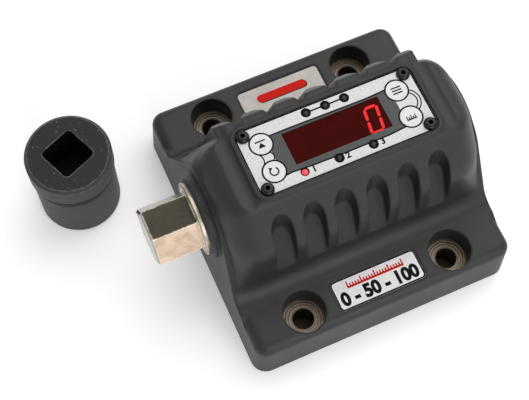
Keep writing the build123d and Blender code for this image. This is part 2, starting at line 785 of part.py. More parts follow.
# Torque shaft: hexagon, journal, gauge length and anchored square
with BuildPart() as torque_shaft:
    with BuildSketch(across_shaft(collar_face)):
        RegularPolygon(hex_across_flats / 2, 6, major_radius=False)
    extrude(amount=-hex_length)
    chamfer(torque_shaft.faces().sort_by(Axis.X)[0].edges(), hex_chamfer)
    with BuildSketch(across_shaft(collar_face)):
        Circle(journal_diameter / 2)
    extrude(amount=journal_end - collar_face)
    with BuildSketch(across_shaft(journal_end)):
        Circle(gauge_diameter / 2)
    extrude(amount=gauge_end - journal_end)
    journal_step = torque_shaft.faces().filter_by(Plane.YZ).group_by(Axis.X)[-2]
    fillet(journal_step.edges().filter_by(lambda edge: edge.radius < gauge_diameter / 2 + 1), gauge_fillet)
    with BuildSketch(across_shaft(gauge_end)):
        RectangleRounded(anchor_square, anchor_square, square_corner)
    extrude(amount=cavity_right - gauge_end)
    with BuildSketch(across_shaft(gauge_station - gauge_flat_length / 2)):
        with PolarLocations(gauge_diameter / 2 - gauge_flat_depth, 4):
            Rectangle(gauge_diameter, gauge_diameter, align=(Align.MIN, Align.CENTER))
    extrude(amount=gauge_flat_length, mode=Mode.SUBTRACT)
torque_shaft.part.label = "torque_shaft"
export_step(torque_shaft.part, "parts/torque_shaft.step")

with BuildPart() as strain_gauges:
    with BuildSketch(across_shaft(gauge_station - gauge_patch[0] / 2)):
        with PolarLocations(gauge_diameter / 2 - gauge_flat_depth, 4):
            Rectangle(gauge_patch[2], gauge_patch[1], align=(Align.MIN, Align.CENTER))
    extrude(amount=gauge_patch[0])
strain_gauges.part.label = "strain_gauges"
export_step(strain_gauges.part, "parts/strain_gauges.step")

gauge_bottom = shaft_height - gauge_diameter / 2 + gauge_flat_depth - gauge_patch[2]
with BuildPart() as gauge_header:
    with BuildSketch(Plane.XY.offset(main_board_top)):
        with Locations((gauge_station, 0)):
            Rectangle(lead_size[0] + 2, header_size[1])
    extrude(amount=lead_header_height)
gauge_header.part.label = "gauge_header"
export_step(gauge_header.part, "parts/gauge_header.step")

with BuildPart() as gauge_lead:
    with BuildSketch(Plane.XY.offset(main_board_top + lead_header_height)):
        with Locations((gauge_station, 0)):
            Rectangle(*lead_size)
    extrude(amount=gauge_bottom - main_board_top - lead_header_height)
gauge_lead.part.label = "gauge_lead"
export_step(gauge_lead.part, "parts/gauge_lead.step")

with BuildPart() as retaining_collar:
    with BuildSketch(across_shaft(collar_face)):
        Circle(collar_diameter / 2)
        Circle(journal_diameter / 2 + running_clearance, mode=Mode.SUBTRACT)
    extrude(amount=collar_thickness)
    chamfer(retaining_collar.faces().sort_by(Axis.X)[0].outer_wire().edges(), 0.4)
retaining_collar.part.label = "retaining_collar"
export_step(retaining_collar.part, "parts/retaining_collar.step")

with BuildPart() as shaft_seal:
    with BuildSketch(across_shaft(boss_face)):
        Circle(bush_outer / 2)
        Circle(journal_diameter / 2 + running_clearance, mode=Mode.SUBTRACT)
    extrude(amount=seal_thickness)
shaft_seal.part.label = "shaft_seal"
export_step(shaft_seal.part, "parts/shaft_seal.step")

with BuildPart() as shaft_bush:
    with BuildSketch(across_shaft(boss_face + seal_thickness)):
        Circle(bush_outer / 2)
        Circle(journal_diameter / 2 + running_clearance, mode=Mode.SUBTRACT)
    extrude(amount=bush_length)
shaft_bush.part.label = "shaft_bush"
export_step(shaft_bush.part, "parts/shaft_bush.step")

with BuildPart() as shaft_anchor:
    with BuildSketch(across_shaft(anchor_face)):
        Circle(anchor_diameter / 2)
        RectangleRounded(anchor_square + 2 * square_clearance, anchor_square + 2 * square_clearance,
                         square_corner, mode=Mode.SUBTRACT)
        with PolarLocations(anchor_screw_circle / 2, 4):
            Circle(anchor_screw / 2, mode=Mode.SUBTRACT)
    extrude(amount=anchor_thickness)
shaft_anchor.part.label = "shaft_anchor"
export_step(shaft_anchor.part, "parts/shaft_anchor.step")

with BuildPart() as anchor_screws:
    with BuildSketch(across_shaft(anchor_face)):
        with PolarLocations(anchor_screw_circle / 2, 4):
            Circle(anchor_screw_head / 2)
    extrude(amount=-anchor_screw)
    with BuildSketch(across_shaft(anchor_face)):
        with PolarLocations(anchor_screw_circle / 2, 4):
            Circle(anchor_screw / 2)
    extrude(amount=anchor_thickness + anchor_thread - anchor_thread_gap)
anchor_screws.part.label = "anchor_screws"
export_step(anchor_screws.part, "parts/anchor_screws.step")


def flange_plate(name, y):
    """Writes one of the bare plates that lie in the top of the flange."""
    with BuildPart() as plate:
        with BuildSketch(Plane.XY.offset(plate_seat)):
            with Locations((0, y)):
                RectangleRounded(*plate_size, plate_radius)
        extrude(amount=plate_thickness)
    plate.part.label = name
    export_step(plate.part, f"parts/{name}.step")


flange_plate("front_plate", front_plate_y)
flange_plate("rear_plate", rear_plate_y)

# Serial connector and power inlet
serial_rows = ((serial_upper_count, serial_row_pitch / 2), (serial_lower_count, -serial_row_pitch / 2))
with BuildPart() as serial_shell_part:
    with BuildSketch(Plane.YZ.offset(port_floor)):
        with Locations(serial_place):
            RectangleRounded(serial_flange[0], serial_flange[1], port_corner / 2)
            with GridLocations(serial_screw_pitch, 1, 2, 1):
                Circle(panel_screw / 2, mode=Mode.SUBTRACT)
    extrude(amount=serial_flange[2])
    with BuildSketch(Plane.YZ.offset(port_floor + serial_flange[2])):
        with Locations(serial_place):
            RectangleRounded(serial_shell[0], serial_shell[1], port_corner)
    extrude(amount=serial_shell[2])
    with BuildSketch(Plane.YZ.offset(port_floor)):
        with Locations(serial_place):
            RectangleRounded(serial_shell[0] - 2 * serial_wall, serial_shell[1] - 2 * serial_wall,
                             port_corner - serial_wall)
    extrude(amount=base_length, mode=Mode.SUBTRACT)
serial_shell_part.part.label = "serial_shell"
export_step(serial_shell_part.part, "parts/serial_shell.step")

with BuildPart() as serial_insulator:
    with BuildSketch(Plane.YZ.offset(serial_body_back)):
        with Locations(serial_place):
            Rectangle(serial_body[0], serial_body[1])
    extrude(amount=serial_body[2])
    with BuildSketch(Plane.YZ.offset(port_floor)):
        with Locations(serial_place):
            RectangleRounded(serial_shell[0] - 2 * serial_wall, serial_shell[1] - 2 * serial_wall,
                             port_corner - serial_wall)
    extrude(amount=serial_flange[2])
    with BuildSketch(Plane.YZ.offset(port_floor + serial_flange[2])):
        for count, height in serial_rows:
            with Locations((serial_place[0], serial_place[1] + height)):
                with GridLocations(serial_pin_pitch, 1, count, 1):
                    Circle(serial_pin / 2)
    extrude(amount=-serial_flange[2] - serial_pin_seat, mode=Mode.SUBTRACT)
serial_insulator.part.label = "serial_insulator"
export_step(serial_insulator.part, "parts/serial_insulator.step")

with BuildPart() as serial_pins:
    with BuildSketch(Plane.YZ.offset(port_floor - 2)):
        for count, height in serial_rows:
            with Locations((serial_place[0], serial_place[1] + height)):
                with GridLocations(serial_pin_pitch, 1, count, 1):
                    Circle(serial_pin / 2)
    extrude(amount=serial_flange[2] + serial_shell[2] + 1)
serial_pins.part.label = "serial_pins"
export_step(serial_pins.part, "parts/serial_pins.step")

with BuildPart() as serial_jackscrews:
    with BuildSketch(Plane.YZ.offset(port_floor + serial_flange[2])):
        with Locations(serial_place):
            with GridLocations(serial_screw_pitch, 1, 2, 1):
                RegularPolygon(jackscrew_size[0] / 2, 6, major_radius=False)
                Circle(panel_screw / 2 - 0.4, mode=Mode.SUBTRACT)
    extrude(amount=jackscrew_size[1] - 0.9)
    with BuildSketch(Plane.YZ.offset(port_floor + serial_flange[2])):
        with Locations(serial_place):
            with GridLocations(serial_screw_pitch, 1, 2, 1):
                Circle(panel_screw / 2)
    extrude(amount=-jackscrew_size[1])
serial_jackscrews.part.label = "serial_jackscrews"
export_step(serial_jackscrews.part, "parts/serial_jackscrews.step")

with BuildPart() as power_inlet:
    with BuildSketch(Plane.YZ.offset(power_back)):
        with Locations(power_place):
            Rectangle(power_body[0], power_body[1])
    extrude(amount=power_body[2])
    with BuildSketch(Plane.YZ.offset(power_back + power_body[2])):
        with Locations(power_place):
            Circle(power_bore[0] / 2)
    extrude(amount=-power_bore[1], mode=Mode.SUBTRACT)
power_inlet.part.label = "power_inlet"
export_step(power_inlet.part, "parts/power_inlet.step")

with BuildPart() as power_inlet_pin:
    with BuildSketch(Plane.YZ.offset(power_back + power_body[2] - power_bore[1])):
        with Locations(power_place):
            Circle(power_pin / 2)
    extrude(amount=power_bore[1] - 1)
power_inlet_pin.part.label = "power_inlet_pin"
export_step(power_inlet_pin.part, "parts/power_inlet_pin.step")

# Adaptor with a square drive at the top and a hexagon socket at the foot
collar_foot = adaptor_height - adaptor_collar_length
groove_foot = collar_foot - adaptor_groove
adaptor_frame = Plane(origin=(*adaptor_place, 0), x_dir=(cos(radians(adaptor_turn)), sin(radians(adaptor_turn)), 0))
with BuildPart() as square_adaptor:
    with BuildSketch(adaptor_frame):
        Circle(adaptor_body / 2)
    extrude(amount=groove_foot)
    with BuildSketch(adaptor_frame.offset(groove_foot)):
        Circle(adaptor_body / 2 - adaptor_groove_depth)
    extrude(amount=adaptor_groove)
    with BuildSketch(adaptor_frame.offset(collar_foot)):
        Circle(adaptor_collar / 2)
    extrude(amount=adaptor_collar_length)
    chamfer(square_adaptor.faces().sort_by(Axis.Z)[-1].edges(), adaptor_chamfer)
    chamfer(square_adaptor.faces().sort_by(Axis.Z)[0].edges(), adaptor_chamfer)
    with BuildSketch(adaptor_frame.offset(adaptor_height)):
        RectangleRounded(drive_square, drive_square, drive_corner, rotation=45)
    extrude(amount=-drive_depth, mode=Mode.SUBTRACT)
    with BuildSketch(adaptor_frame):
        RegularPolygon(hex_across_flats / 2 + socket_clearance, 6, major_radius=False)
    extrude(amount=socket_depth, mode=Mode.SUBTRACT)
    with BuildSketch(Plane(origin=(*adaptor_place, adaptor_height - detent_drop),
                           z_dir=(cos(radians(adaptor_turn + 135)), sin(radians(adaptor_turn + 135)), 0))):
        Circle(detent_diameter / 2)
    extrude(amount=adaptor_collar, mode=Mode.SUBTRACT)
square_adaptor.part.label = "square_adaptor"
export_step(square_adaptor.part, "parts/square_adaptor.step")
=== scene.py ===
"""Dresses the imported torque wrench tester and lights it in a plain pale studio."""

import logging
import math
from dataclasses import dataclass, field
from enum import Enum
from typing import Any, Callable, Iterable, Sequence

import bmesh
import bpy
from mathutils import Matrix, Vector


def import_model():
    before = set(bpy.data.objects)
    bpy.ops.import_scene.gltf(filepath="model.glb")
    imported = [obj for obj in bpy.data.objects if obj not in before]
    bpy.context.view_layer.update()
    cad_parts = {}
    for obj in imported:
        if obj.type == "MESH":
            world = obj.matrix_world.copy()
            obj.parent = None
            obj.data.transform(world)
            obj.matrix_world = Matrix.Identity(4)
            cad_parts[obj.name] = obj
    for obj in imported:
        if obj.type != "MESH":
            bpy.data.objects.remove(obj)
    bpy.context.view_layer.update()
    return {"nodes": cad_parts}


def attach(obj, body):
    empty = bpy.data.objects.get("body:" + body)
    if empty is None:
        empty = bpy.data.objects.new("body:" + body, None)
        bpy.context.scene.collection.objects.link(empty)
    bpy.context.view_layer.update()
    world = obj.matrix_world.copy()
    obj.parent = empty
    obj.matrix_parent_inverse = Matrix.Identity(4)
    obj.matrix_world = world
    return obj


Colour = tuple[float, float, float]
Point = tuple[float, float]
Socket = bpy.types.NodeSocket
Nodes = dict[str, bpy.types.Object]

LOG = logging.getLogger("tester")
MM = 0.001
BOLT_PLACE: Point = (40.0, 58.0)
INK = 0.04
BEVEL_SAMPLES = 6
BUMP_SHARE = 0.6
COAT_ROUGHNESS = 0.12
GLOSS_SPREAD = (0.88, 1.12)
UPWARD = 0.9
SIDEWAYS = 0.3

# A noise is given by its features per metre, detail and roughness, a span by the input at either end.
GRAIN_SPAN = (0.3, 0.7)
PATCH_SPAN = (0.35, 0.65)
FLECK_NOISE = (520.0, 2.0, 0.7)
FLECK_SPAN = (0.66, 0.74)
EDGE_SPAN = (0.994, 0.93)
RUB_NOISE = (420.0, 4.0, 0.65)
RUB_SPAN = (0.40, 0.56)
BAND_FADE = (0.0009, 0.0004)
RING_WOBBLE = (180.0, 0.0017)
RING_DEPTH = 0.0001
RING_SPAN = (0.25, 0.9)


class Body(Enum):
    """The CAD bodies that pieces ride on."""

    TESTER = "tester"
    RESET = "reset_button"
    LIMIT = "limit_button"
    UNIT = "unit_button"
    MODE = "mode_button"


class TreeSketch:
    """A small helper that lays out the nodes of one shader tree."""

    def __init__(self, tree: bpy.types.NodeTree) -> None:
        """Empties the tree that the nodes go into."""
        self.tree = tree
        self.tree.nodes.clear()

    def add(self, kind: str, **settings: Any) -> bpy.types.Node:
        """Adds a node.

        Args:
            kind: Type name of the node.
            settings: Properties to set on the node.

        Returns:
            The new node.
        """
        node = self.tree.nodes.new(kind)
        for key, value in settings.items():
            setattr(node, key, value)
        return node

    def feed(self, target: Socket, value: Socket | Colour | float) -> None:
        """Gives an input its value.

        Args:
            target: The input.
            value: The socket to join to it, or a plain colour or number.
        """
        if isinstance(value, Socket):
            self.tree.links.new(value, target)
        elif isinstance(value, tuple):
            target.default_value = (*value, 1.0)
        else:
            target.default_value = value

    def scalar(self, operation: str, *values: Socket | float) -> Socket:
        """Adds an operation on numbers.

        Args:
            operation: Name of the operation.
            values: The numbers, or the sockets that give them.

        Returns:
            The result.
        """
        node = self.add("ShaderNodeMath", operation=operation)
        for target, value in zip(node.inputs, values):
            self.feed(target, value)
        return node.outputs[0]


class NodeSketch(TreeSketch):
    """The shader nodes of one material."""

    def __init__(self, name: str) -> None:
        """Starts a material with an output and a principled shader.

        Args:
            name: The material's name.
        """
        self.material = bpy.data.materials.new(name)
        self.material.use_nodes = True
        super().__init__(self.material.node_tree)
        self.shader = self.add("ShaderNodeBsdfPrincipled")
        self.feed(self.add("ShaderNodeOutputMaterial").inputs["Surface"], self.shader.outputs["BSDF"])
        self.place = self.add("ShaderNodeTexCoord").outputs["Object"]

    def set_shader(self, values: dict[str, Socket | Colour | float]) -> None:
        """Gives inputs of the principled shader their values, by name."""
        for name, value in values.items():
            self.feed(self.shader.inputs[name], value)

    def vector(self, operation: str, *vectors: Socket) -> bpy.types.Node:
        """Adds an operation on vectors.

        Args:
            operation: Name of the operation.
            vectors: The sockets that give the vectors.

        Returns:
            The node, with its outputs Vector and Value.
        """
        node = self.add("ShaderNodeVectorMath", operation=operation)
        for target, vector in zip(node.inputs, vectors):
            self.feed(target, vector)
        return node

    def axes(self, vector: Socket) -> dict[str, Socket]:
        """Splits a vector.

        Args:
            vector: The vector.

        Returns:
            Its X, Y and Z by name.
        """
        node = self.add("ShaderNodeSeparateXYZ")
        self.feed(node.inputs["Vector"], vector)
        return {axis: node.outputs[axis] for axis in "XYZ"}

    def stretched(self, scale: Colour) -> Socket:
        """Stretches the object coordinates.

        Args:
            scale: The factors along X, Y and Z.

        Returns:
            The stretched coordinates.
        """
        mapping = self.add("ShaderNodeMapping")
        mapping.inputs["Scale"].default_value = scale
        self.feed(mapping.inputs["Vector"], self.place)
        return mapping.outputs["Vector"]

    def noise(self, scale: float, detail: float = 3.0, rough: float = 0.5,
              place: Socket | None = None) -> Socket:
        """Adds a noise texture.

        Args:
            scale: Features per metre.
            detail: Octaves of finer noise.
            rough: How strong the finer octaves are.
            place: Coordinates to use instead of the object's own.

        Returns:
            The noise value, around 0.5.
        """
        node = self.add("ShaderNodeTexNoise")
        for key, value in (("Scale", scale), ("Detail", detail), ("Roughness", rough)):
            self.feed(node.inputs[key], value)
        self.feed(node.inputs["Vector"], place or self.place)
        return node.outputs["Fac"]

    def ramp(self, value: Socket, low: float, high: float, start: float = 0.0, end: float = 1.0) -> Socket:
        """Maps a value from one range to another, clamped.

        Args:
            value: The value to map.
            low: The input that gives start.
            high: The input that gives end.
            start: The result at low.
            end: The result at high.

        Returns:
            The mapped value.
        """
        node = self.add("ShaderNodeMapRange")
        for key, number in zip(("From Min", "From Max", "To Min", "To Max"), (low, high, start, end)):
            self.feed(node.inputs[key], number)
        self.feed(node.inputs["Value"], value)
        return node.outputs["Result"]

    def blend(self, share: Socket | float, first: Socket | Colour, second: Socket | Colour) -> Socket:
        """Mixes two colours.

        Args:
            share: 0 for the first colour, 1 for the second.
            first: The first colour, or the socket that gives it.
            second: The second colour, or the socket that gives it.

        Returns:
            The mixed colour.
        """
        node = self.add("ShaderNodeMix", data_type="RGBA")
        for index, value in ((0, share), (6, first), (7, second)):
            self.feed(node.inputs[index], value)
        return node.outputs[2]

    def rounded(self, radius: float) -> Socket:
        """Shades sharp edges round.

        Args:
            radius: The radius to shade over, in metres.

        Returns:
            The rounded normal.
        """
        node = self.add("ShaderNodeBevel", samples=BEVEL_SAMPLES)
        self.feed(node.inputs["Radius"], radius)
        return node.outputs["Normal"]

    def bump(self, height: Socket, distance: float, normal: Socket | None = None) -> Socket:
        """Turns a height into a bumped normal.

        Args:
            height: The height value.
            distance: The height of 1, in metres.
            normal: An earlier normal to add to.

        Returns:
            The bumped normal.
        """
        node = self.add("ShaderNodeBump")
        for key, value in (("Strength", BUMP_SHARE), ("Distance", distance), ("Height", height)):
            self.feed(node.inputs[key], value)
        if normal is not None:
            self.feed(node.inputs["Normal"], normal)
        return node.outputs["Normal"]


@dataclass(frozen=True)
class Finish:
    """A surface finish: its colour and gloss, with their small variations and relief.

    Attributes:
        name: The material's name.
        colour: Base colour, linear.
        roughness: Mean roughness.
        metallic: 0 for paint and plastic, 1 for bare metal.
        speckle: How far the fine grain shifts the colour.
        grain: Fine grain features per metre.
        mottle: How far broad patches shift the colour.
        patch: Broad patches per metre.
        relief: Height of the fine relief in metres.
        stretch: Stretch of the grain along X, Y and Z.
        coat: Strength of a clear coat.
        specular: Specular level.
        glow: Emission strength in the base colour.
        alpha: Opacity.
        wear: How far exposed edges turn to the wear colour.
        wear_colour: Colour of the worn edges.
        wear_width: How far the wear reaches in from an edge, in metres.
        soften: Radius over which sharp edges are shaded round, in metres.
        rings: How close the turned rings about each bench bolt lie, in radians per metre, or 0 for none.
        flecks: How bright the sparse light flecks are.
        band: Lowest and highest point of a dark band of painted shade round the piece, in metres up from
            the bench.
    """

    name: str
    colour: Colour
    roughness: float
    metallic: float = 0.0
    speckle: float = 0.08
    grain: float = 2500.0
    mottle: float = 0.06
    patch: float = 60.0
    relief: float = 0.00002
    stretch: Colour = (1.0, 1.0, 1.0)
    coat: float = 0.0
    specular: float = 0.5
    glow: float = 0.0
    alpha: float = 1.0
    wear: float = 0.0
    wear_colour: Colour = (0.3, 0.3, 0.3)
    wear_width: float = 0.0005
    soften: float = 0.0
    rings: float = 0.0
    flecks: float = 0.0
    band: Point = (0.0, 0.0)

    def material(self) -> bpy.types.Material:
        """Builds the finish once and gives its material again on later calls."""
        made = bpy.data.materials.get(f"finish_{self.name}")
        return made or self.build().material

    def build(self) -> NodeSketch:
        """Lays out the shader nodes.

        Returns:
            The finished sketch.
        """
        sketch = NodeSketch(f"finish_{self.name}")
        fine = sketch.noise(self.grain, 4.0, 0.6, sketch.stretched(self.stretch))
        broad = sketch.noise(self.patch)
        tone = sketch.blend(sketch.ramp(fine, *GRAIN_SPAN), *self.spread(self.speckle))
        dark = sketch.blend(sketch.ramp(broad, *PATCH_SPAN), *self.spread(self.mottle))
        colour = sketch.blend(0.5, tone, dark)
        normal = sketch.rounded(self.soften) if self.soften else None
        if self.wear:
            colour = sketch.blend(self.rubbed_edges(sketch), colour, self.wear_colour)
        if self.flecks:
            spots = sketch.ramp(sketch.noise(*FLECK_NOISE), *FLECK_SPAN)
            colour = sketch.blend(spots, colour, (self.flecks, self.flecks, self.flecks))
        # Painted shade: a dark band round the piece, between the two heights in band.
        if self.band[1]:
            colour = sketch.blend(self.painted_shade_band(sketch), colour, self.shade(0.15))
        if self.rings:
            turned = self.turned_rings(sketch)
            normal = sketch.bump(turned, RING_DEPTH, normal)
            colour = sketch.blend(sketch.ramp(turned, *RING_SPAN), self.shade(0.55), colour)
        gloss = (self.roughness * share for share in GLOSS_SPREAD)
        sketch.set_shader({
            "Base Color": colour, "Roughness": sketch.ramp(broad, *GRAIN_SPAN, *gloss),
            "Normal": sketch.bump(fine, self.relief, normal), "Metallic": self.metallic,
            "Specular IOR Level": self.specular, "Coat Weight": self.coat,
            "Coat Roughness": COAT_ROUGHNESS, "Alpha": self.alpha})
        if self.glow:
            sketch.set_shader({"Emission Color": self.colour, "Emission Strength": self.glow})
        return sketch

    def painted_shade_band(self, sketch: NodeSketch) -> Socket:
        """Finds the band round a piece where shade is painted.

        Args:
            sketch: The sketch to draw the mask in.

        Returns:
            The mask, from 0 to 1.
        """
        height = sketch.axes(sketch.place)["Z"]
        low, high = self.band
        rise = sketch.ramp(height, low, low + BAND_FADE[0])
        fall = sketch.ramp(height, high, high + BAND_FADE[1], 1.0, 0.0)
        return sketch.scalar("MULTIPLY", rise, fall)

    def rubbed_edges(self, sketch: NodeSketch) -> Socket:
        """Finds the edges where handling has rubbed the finish through.

        Args:
            sketch: The sketch to draw the mask in.

        Returns:
            The mask, from 0 to the finish's wear.
        """
        flat = sketch.add("ShaderNodeNewGeometry").outputs["Normal"]
        facing = sketch.vector("DOT_PRODUCT", sketch.rounded(self.wear_width), flat)
        edge = sketch.ramp(facing.outputs["Value"], *EDGE_SPAN, 0.0, self.wear)
        patchy = sketch.ramp(sketch.noise(*RUB_NOISE), *RUB_SPAN, 0.25, 1.0)
        return sketch.scalar("MULTIPLY", edge, patchy)

    def turned_rings(self, sketch: NodeSketch) -> Socket:
        """Draws the rings that a cutter leaves round each bench bolt.

        Args:
            sketch: The sketch to draw them in.

        Returns:
            The height of the rings, from 0 to 1.
        """
        places = sketch.axes(sketch.place)
        offset = sketch.add("ShaderNodeCombineXYZ")
        for axis, bolt in zip("XY", BOLT_PLACE):
            size = sketch.scalar("ABSOLUTE", places[axis])
            sketch.feed(offset.inputs[axis], sketch.scalar("SUBTRACT", size, bolt * MM))
        reach = sketch.vector("LENGTH", offset.outputs[0]).outputs["Value"]
        grain, drift = RING_WOBBLE
        wobbly = sketch.scalar("MULTIPLY_ADD", sketch.noise(grain), drift, reach)
        wave = sketch.scalar("SINE", sketch.scalar("MULTIPLY", wobbly, self.rings))
        return sketch.ramp(wave, -1.0, 1.0)

    def shade(self, factor: float) -> Colour:
        """Gives the base colour made lighter or darker by a factor."""
        return tuple(min(1.0, channel * factor) for channel in self.colour)

    def spread(self, share: float) -> tuple[Colour, Colour]:
        """Gives the base colour made darker and lighter by a share."""
        return self.shade(1 - share), self.shade(1 + share)


CAST_COAT = Finish(
    "cast_coat", (0.017, 0.0175, 0.0185), 0.46, speckle=0.16, grain=1500.0, mottle=0.14, patch=22.0,
    relief=0.00006, specular=0.34, wear=0.35, wear_colour=(0.042, 0.042, 0.044), soften=0.0022,
    wear_width=0.0007)
SEAT_METAL = Finish(
    "seat_metal", (0.2, 0.165, 0.125), 0.42, metallic=0.9, speckle=0.45, grain=420.0, mottle=0.6,
    patch=170.0, relief=0.00005, rings=4300.0)
BORE_METAL = Finish(
    "bore_metal", (0.085, 0.07, 0.055), 0.5, metallic=0.6, speckle=0.45, grain=500.0, mottle=0.6,
    patch=150.0, relief=0.00005, stretch=(1.0, 1.0, 7.0))
# Painted shade and highlight: the hexagon's top flat is darker and its front flats lighter and tan, by how
# they face the light.
HEX_TOP_SHADE = Finish(
    "hex_top_painted_shade", (0.034, 0.028, 0.017), 0.46, metallic=0.55, speckle=0.35, grain=500.0, mottle=0.55,
    patch=90.0, stretch=(0.5, 1.6, 1.6), wear=1.0, wear_colour=(0.9, 0.82, 0.66), wear_width=0.0011,
    soften=0.0004)
HEX_FRONT_HIGHLIGHT = Finish(
    "hex_front_painted_highlight", (0.6, 0.455, 0.345), 0.28, metallic=0.85, speckle=0.16, grain=420.0, mottle=0.28,
    patch=170.0, stretch=(0.6, 1.6, 1.6), wear=1.0, wear_colour=(1.0, 0.93, 0.8), wear_width=0.0009,
    soften=0.0004)
HEX_STEEL = Finish(
    "hex_steel", (0.42, 0.4, 0.35), 0.26, metallic=1.0, speckle=0.16, grain=900.0, mottle=0.2, patch=90.0,
    relief=0.00001, stretch=(0.25, 3.0, 3.0), wear=0.8, wear_colour=(0.95, 0.93, 0.86), soften=0.0004)
BRIGHT_STEEL = Finish(
    "bright_steel", (0.36, 0.33, 0.26), 0.34, metallic=1.0, speckle=0.25, mottle=0.4, patch=220.0, wear=1.0,
    wear_colour=(0.98, 0.93, 0.78), soften=0.0003)
# Its band is painted shade, a dark stripe round the adaptor just below its groove.
BLACK_OXIDE = Finish(
    "black_oxide", (0.051, 0.051, 0.052), 0.46, speckle=0.3, grain=900.0, mottle=0.3, patch=75.0,
    relief=0.00004, specular=0.1, wear=1.0, wear_colour=(0.2, 0.19, 0.18), wear_width=0.0009,
    soften=0.0005, flecks=0.1, band=(0.0322, 0.0372))
OXIDE_TOP = Finish(
    "oxide_top", (0.0095, 0.0098, 0.0094), 0.48, speckle=0.5, grain=900.0, mottle=0.6, patch=75.0,
    relief=0.00004, specular=0.24, wear=1.0, wear_colour=(0.2, 0.19, 0.18), wear_width=0.0009,
    soften=0.0005, flecks=0.16)
# Painted shade: near black and dull for the adaptor's groove and sockets, where shade falls.
OXIDE_RECESS_SHADE = Finish(
    "oxide_recess_shade", (0.003, 0.003, 0.003), 0.6, speckle=0.3, grain=900.0, relief=0.00003, specular=0.1)
SCREW_BLACK = Finish(
    "screw_black", (0.003, 0.003, 0.003), 0.16, specular=0.28, speckle=0.1, relief=0.000003, soften=0.0002)
# Painted shade: near black and matt in the screws' hexagon recesses.
SCREW_RECESS_SHADE = Finish("screw_recess", (0.0015, 0.0015, 0.0015), 0.75, specular=0.05, relief=0.000003)
ZINC = Finish("zinc", (0.6, 0.61, 0.6), 0.32, metallic=1.0, speckle=0.1)
PANEL_FILM = Finish(
    "panel_silver", (0.62, 0.62, 0.61), 0.45, speckle=0.3, grain=900.0, mottle=0.03, patch=40.0,
    relief=0.00001, coat=0.1)
KEY_FILM = Finish(
    "key_silver", (0.68, 0.68, 0.67), 0.42, speckle=0.16, grain=900.0, mottle=0.03, relief=0.00001,
    coat=0.1)
# Painted shade: near black on the panel's cut edges, for the dark gap round it.
PANEL_GAP_SHADE = Finish("panel_gap_shade", (0.004, 0.004, 0.004), 0.7, specular=0.1, relief=0.000003)
FIELD_INK = Finish(
    "field_ink", (0.077, 0.081, 0.081), 0.5, speckle=0.14, grain=1200.0, relief=0.000005, specular=0.15)
# Black print, and painted shade for the lines round the panel and the flange plates.
BLACK_INK_AND_SHADE = Finish("black_ink_and_shade", (0.004, 0.004, 0.0045), 0.6, speckle=0.05, relief=0.000004, specular=0.08)
RED_INK = Finish("red_ink", (0.66, 0.01, 0.004), 0.5, speckle=0.1, relief=0.000004, specular=0.1)
WINDOW = Finish(
    "window_filter", (0.064, 0.0068, 0.0062), 0.45, speckle=0.06, mottle=0.1, patch=120.0, relief=0.000002,
    specular=0.0, alpha=0.72)
DIGIT_FACE = Finish("digit_face", (0.02, 0.006, 0.006), 0.5, speckle=0.05, specular=0.05)
SEGMENT_DARK = Finish("segment_dark", (0.075, 0.01, 0.012), 0.5, speckle=0.05, specular=0.05)
SEGMENT_LIT = Finish("segment_lit", (1.0, 0.04, 0.045), 0.5, speckle=0.0, mottle=0.0, glow=11.0)
LAMP_DARK = Finish("lamp_smoked", (0.012, 0.012, 0.013), 0.35, speckle=0.05, specular=0.3)
LAMP_LIT = Finish("lamp_glowing", (1.0, 0.05, 0.07), 0.3, speckle=0.0, mottle=0.0, glow=0.55)
LABEL_FILM = Finish(
    "label_white", (0.75, 0.75, 0.745), 0.42, speckle=0.16, grain=900.0, mottle=0.12, patch=260.0,
    relief=0.00001, coat=0.1)
PLATE_METAL = Finish(
    "plate_brushed", (0.5, 0.465, 0.43), 0.55, metallic=0.15, speckle=0.16, grain=300.0, mottle=0.22,
    patch=110.0, stretch=(0.7, 1.5, 1.0))
BOARD = Finish("board_mask", (0.02, 0.12, 0.05), 0.35, coat=0.3)
MOULDED = Finish("moulded_black", (0.014, 0.014, 0.015), 0.42)
RUBBER = Finish("black_rubber", (0.012, 0.012, 0.012), 0.7)
BRONZE = Finish("bearing_bronze", (0.55, 0.36, 0.16), 0.34, metallic=1.0)
GOLD = Finish("plated_pin", (0.85, 0.62, 0.25), 0.25, metallic=1.0)
RIBBON = Finish("flat_cable", (0.4, 0.4, 0.4), 0.5)
GAUGE_FOIL = Finish("gauge_foil", (0.55, 0.36, 0.1), 0.45)
SHEET = Finish("plain_sheet", (0.58, 0.59, 0.6), 0.36, metallic=1.0, stretch=(0.2, 3.0, 1.0), grain=700.0)

NODE_FINISHES: dict[str, Finish] = {name: finish for finish, names in {
    CAST_COAT: "housing", SHEET: "base_cover capacitors",
    ZINC: "base_cover_screws board_spacers main_board_screws display_board_screws shaft_anchor "
          "serial_shell serial_jackscrews",
    BOARD: "main_board display_board",
    MOULDED: "main_board_chips main_header display_header key_switches limit_plunger reset_plunger "
             "mode_plunger unit_plunger gauge_header serial_insulator power_inlet",
    RIBBON: "ribbon_cable gauge_lead", DIGIT_FACE: "digit_modules", LAMP_DARK: "range_leds unit_leds",
    LAMP_LIT: "lit_unit_led", KEY_FILM: "limit_key reset_key mode_key unit_key",
    RUBBER: "panel_gasket shaft_seal", PANEL_FILM: "display_panel", WINDOW: "display_window",
    SCREW_BLACK: "panel_screws anchor_screws", HEX_STEEL: "torque_shaft", GAUGE_FOIL: "strain_gauges",
    BRIGHT_STEEL: "retaining_collar", BRONZE: "shaft_bush", LABEL_FILM: "front_plate",
    PLATE_METAL: "rear_plate", GOLD: "serial_pins power_inlet_pin", BLACK_OXIDE: "square_adaptor",
}.items() for name in names.split()}


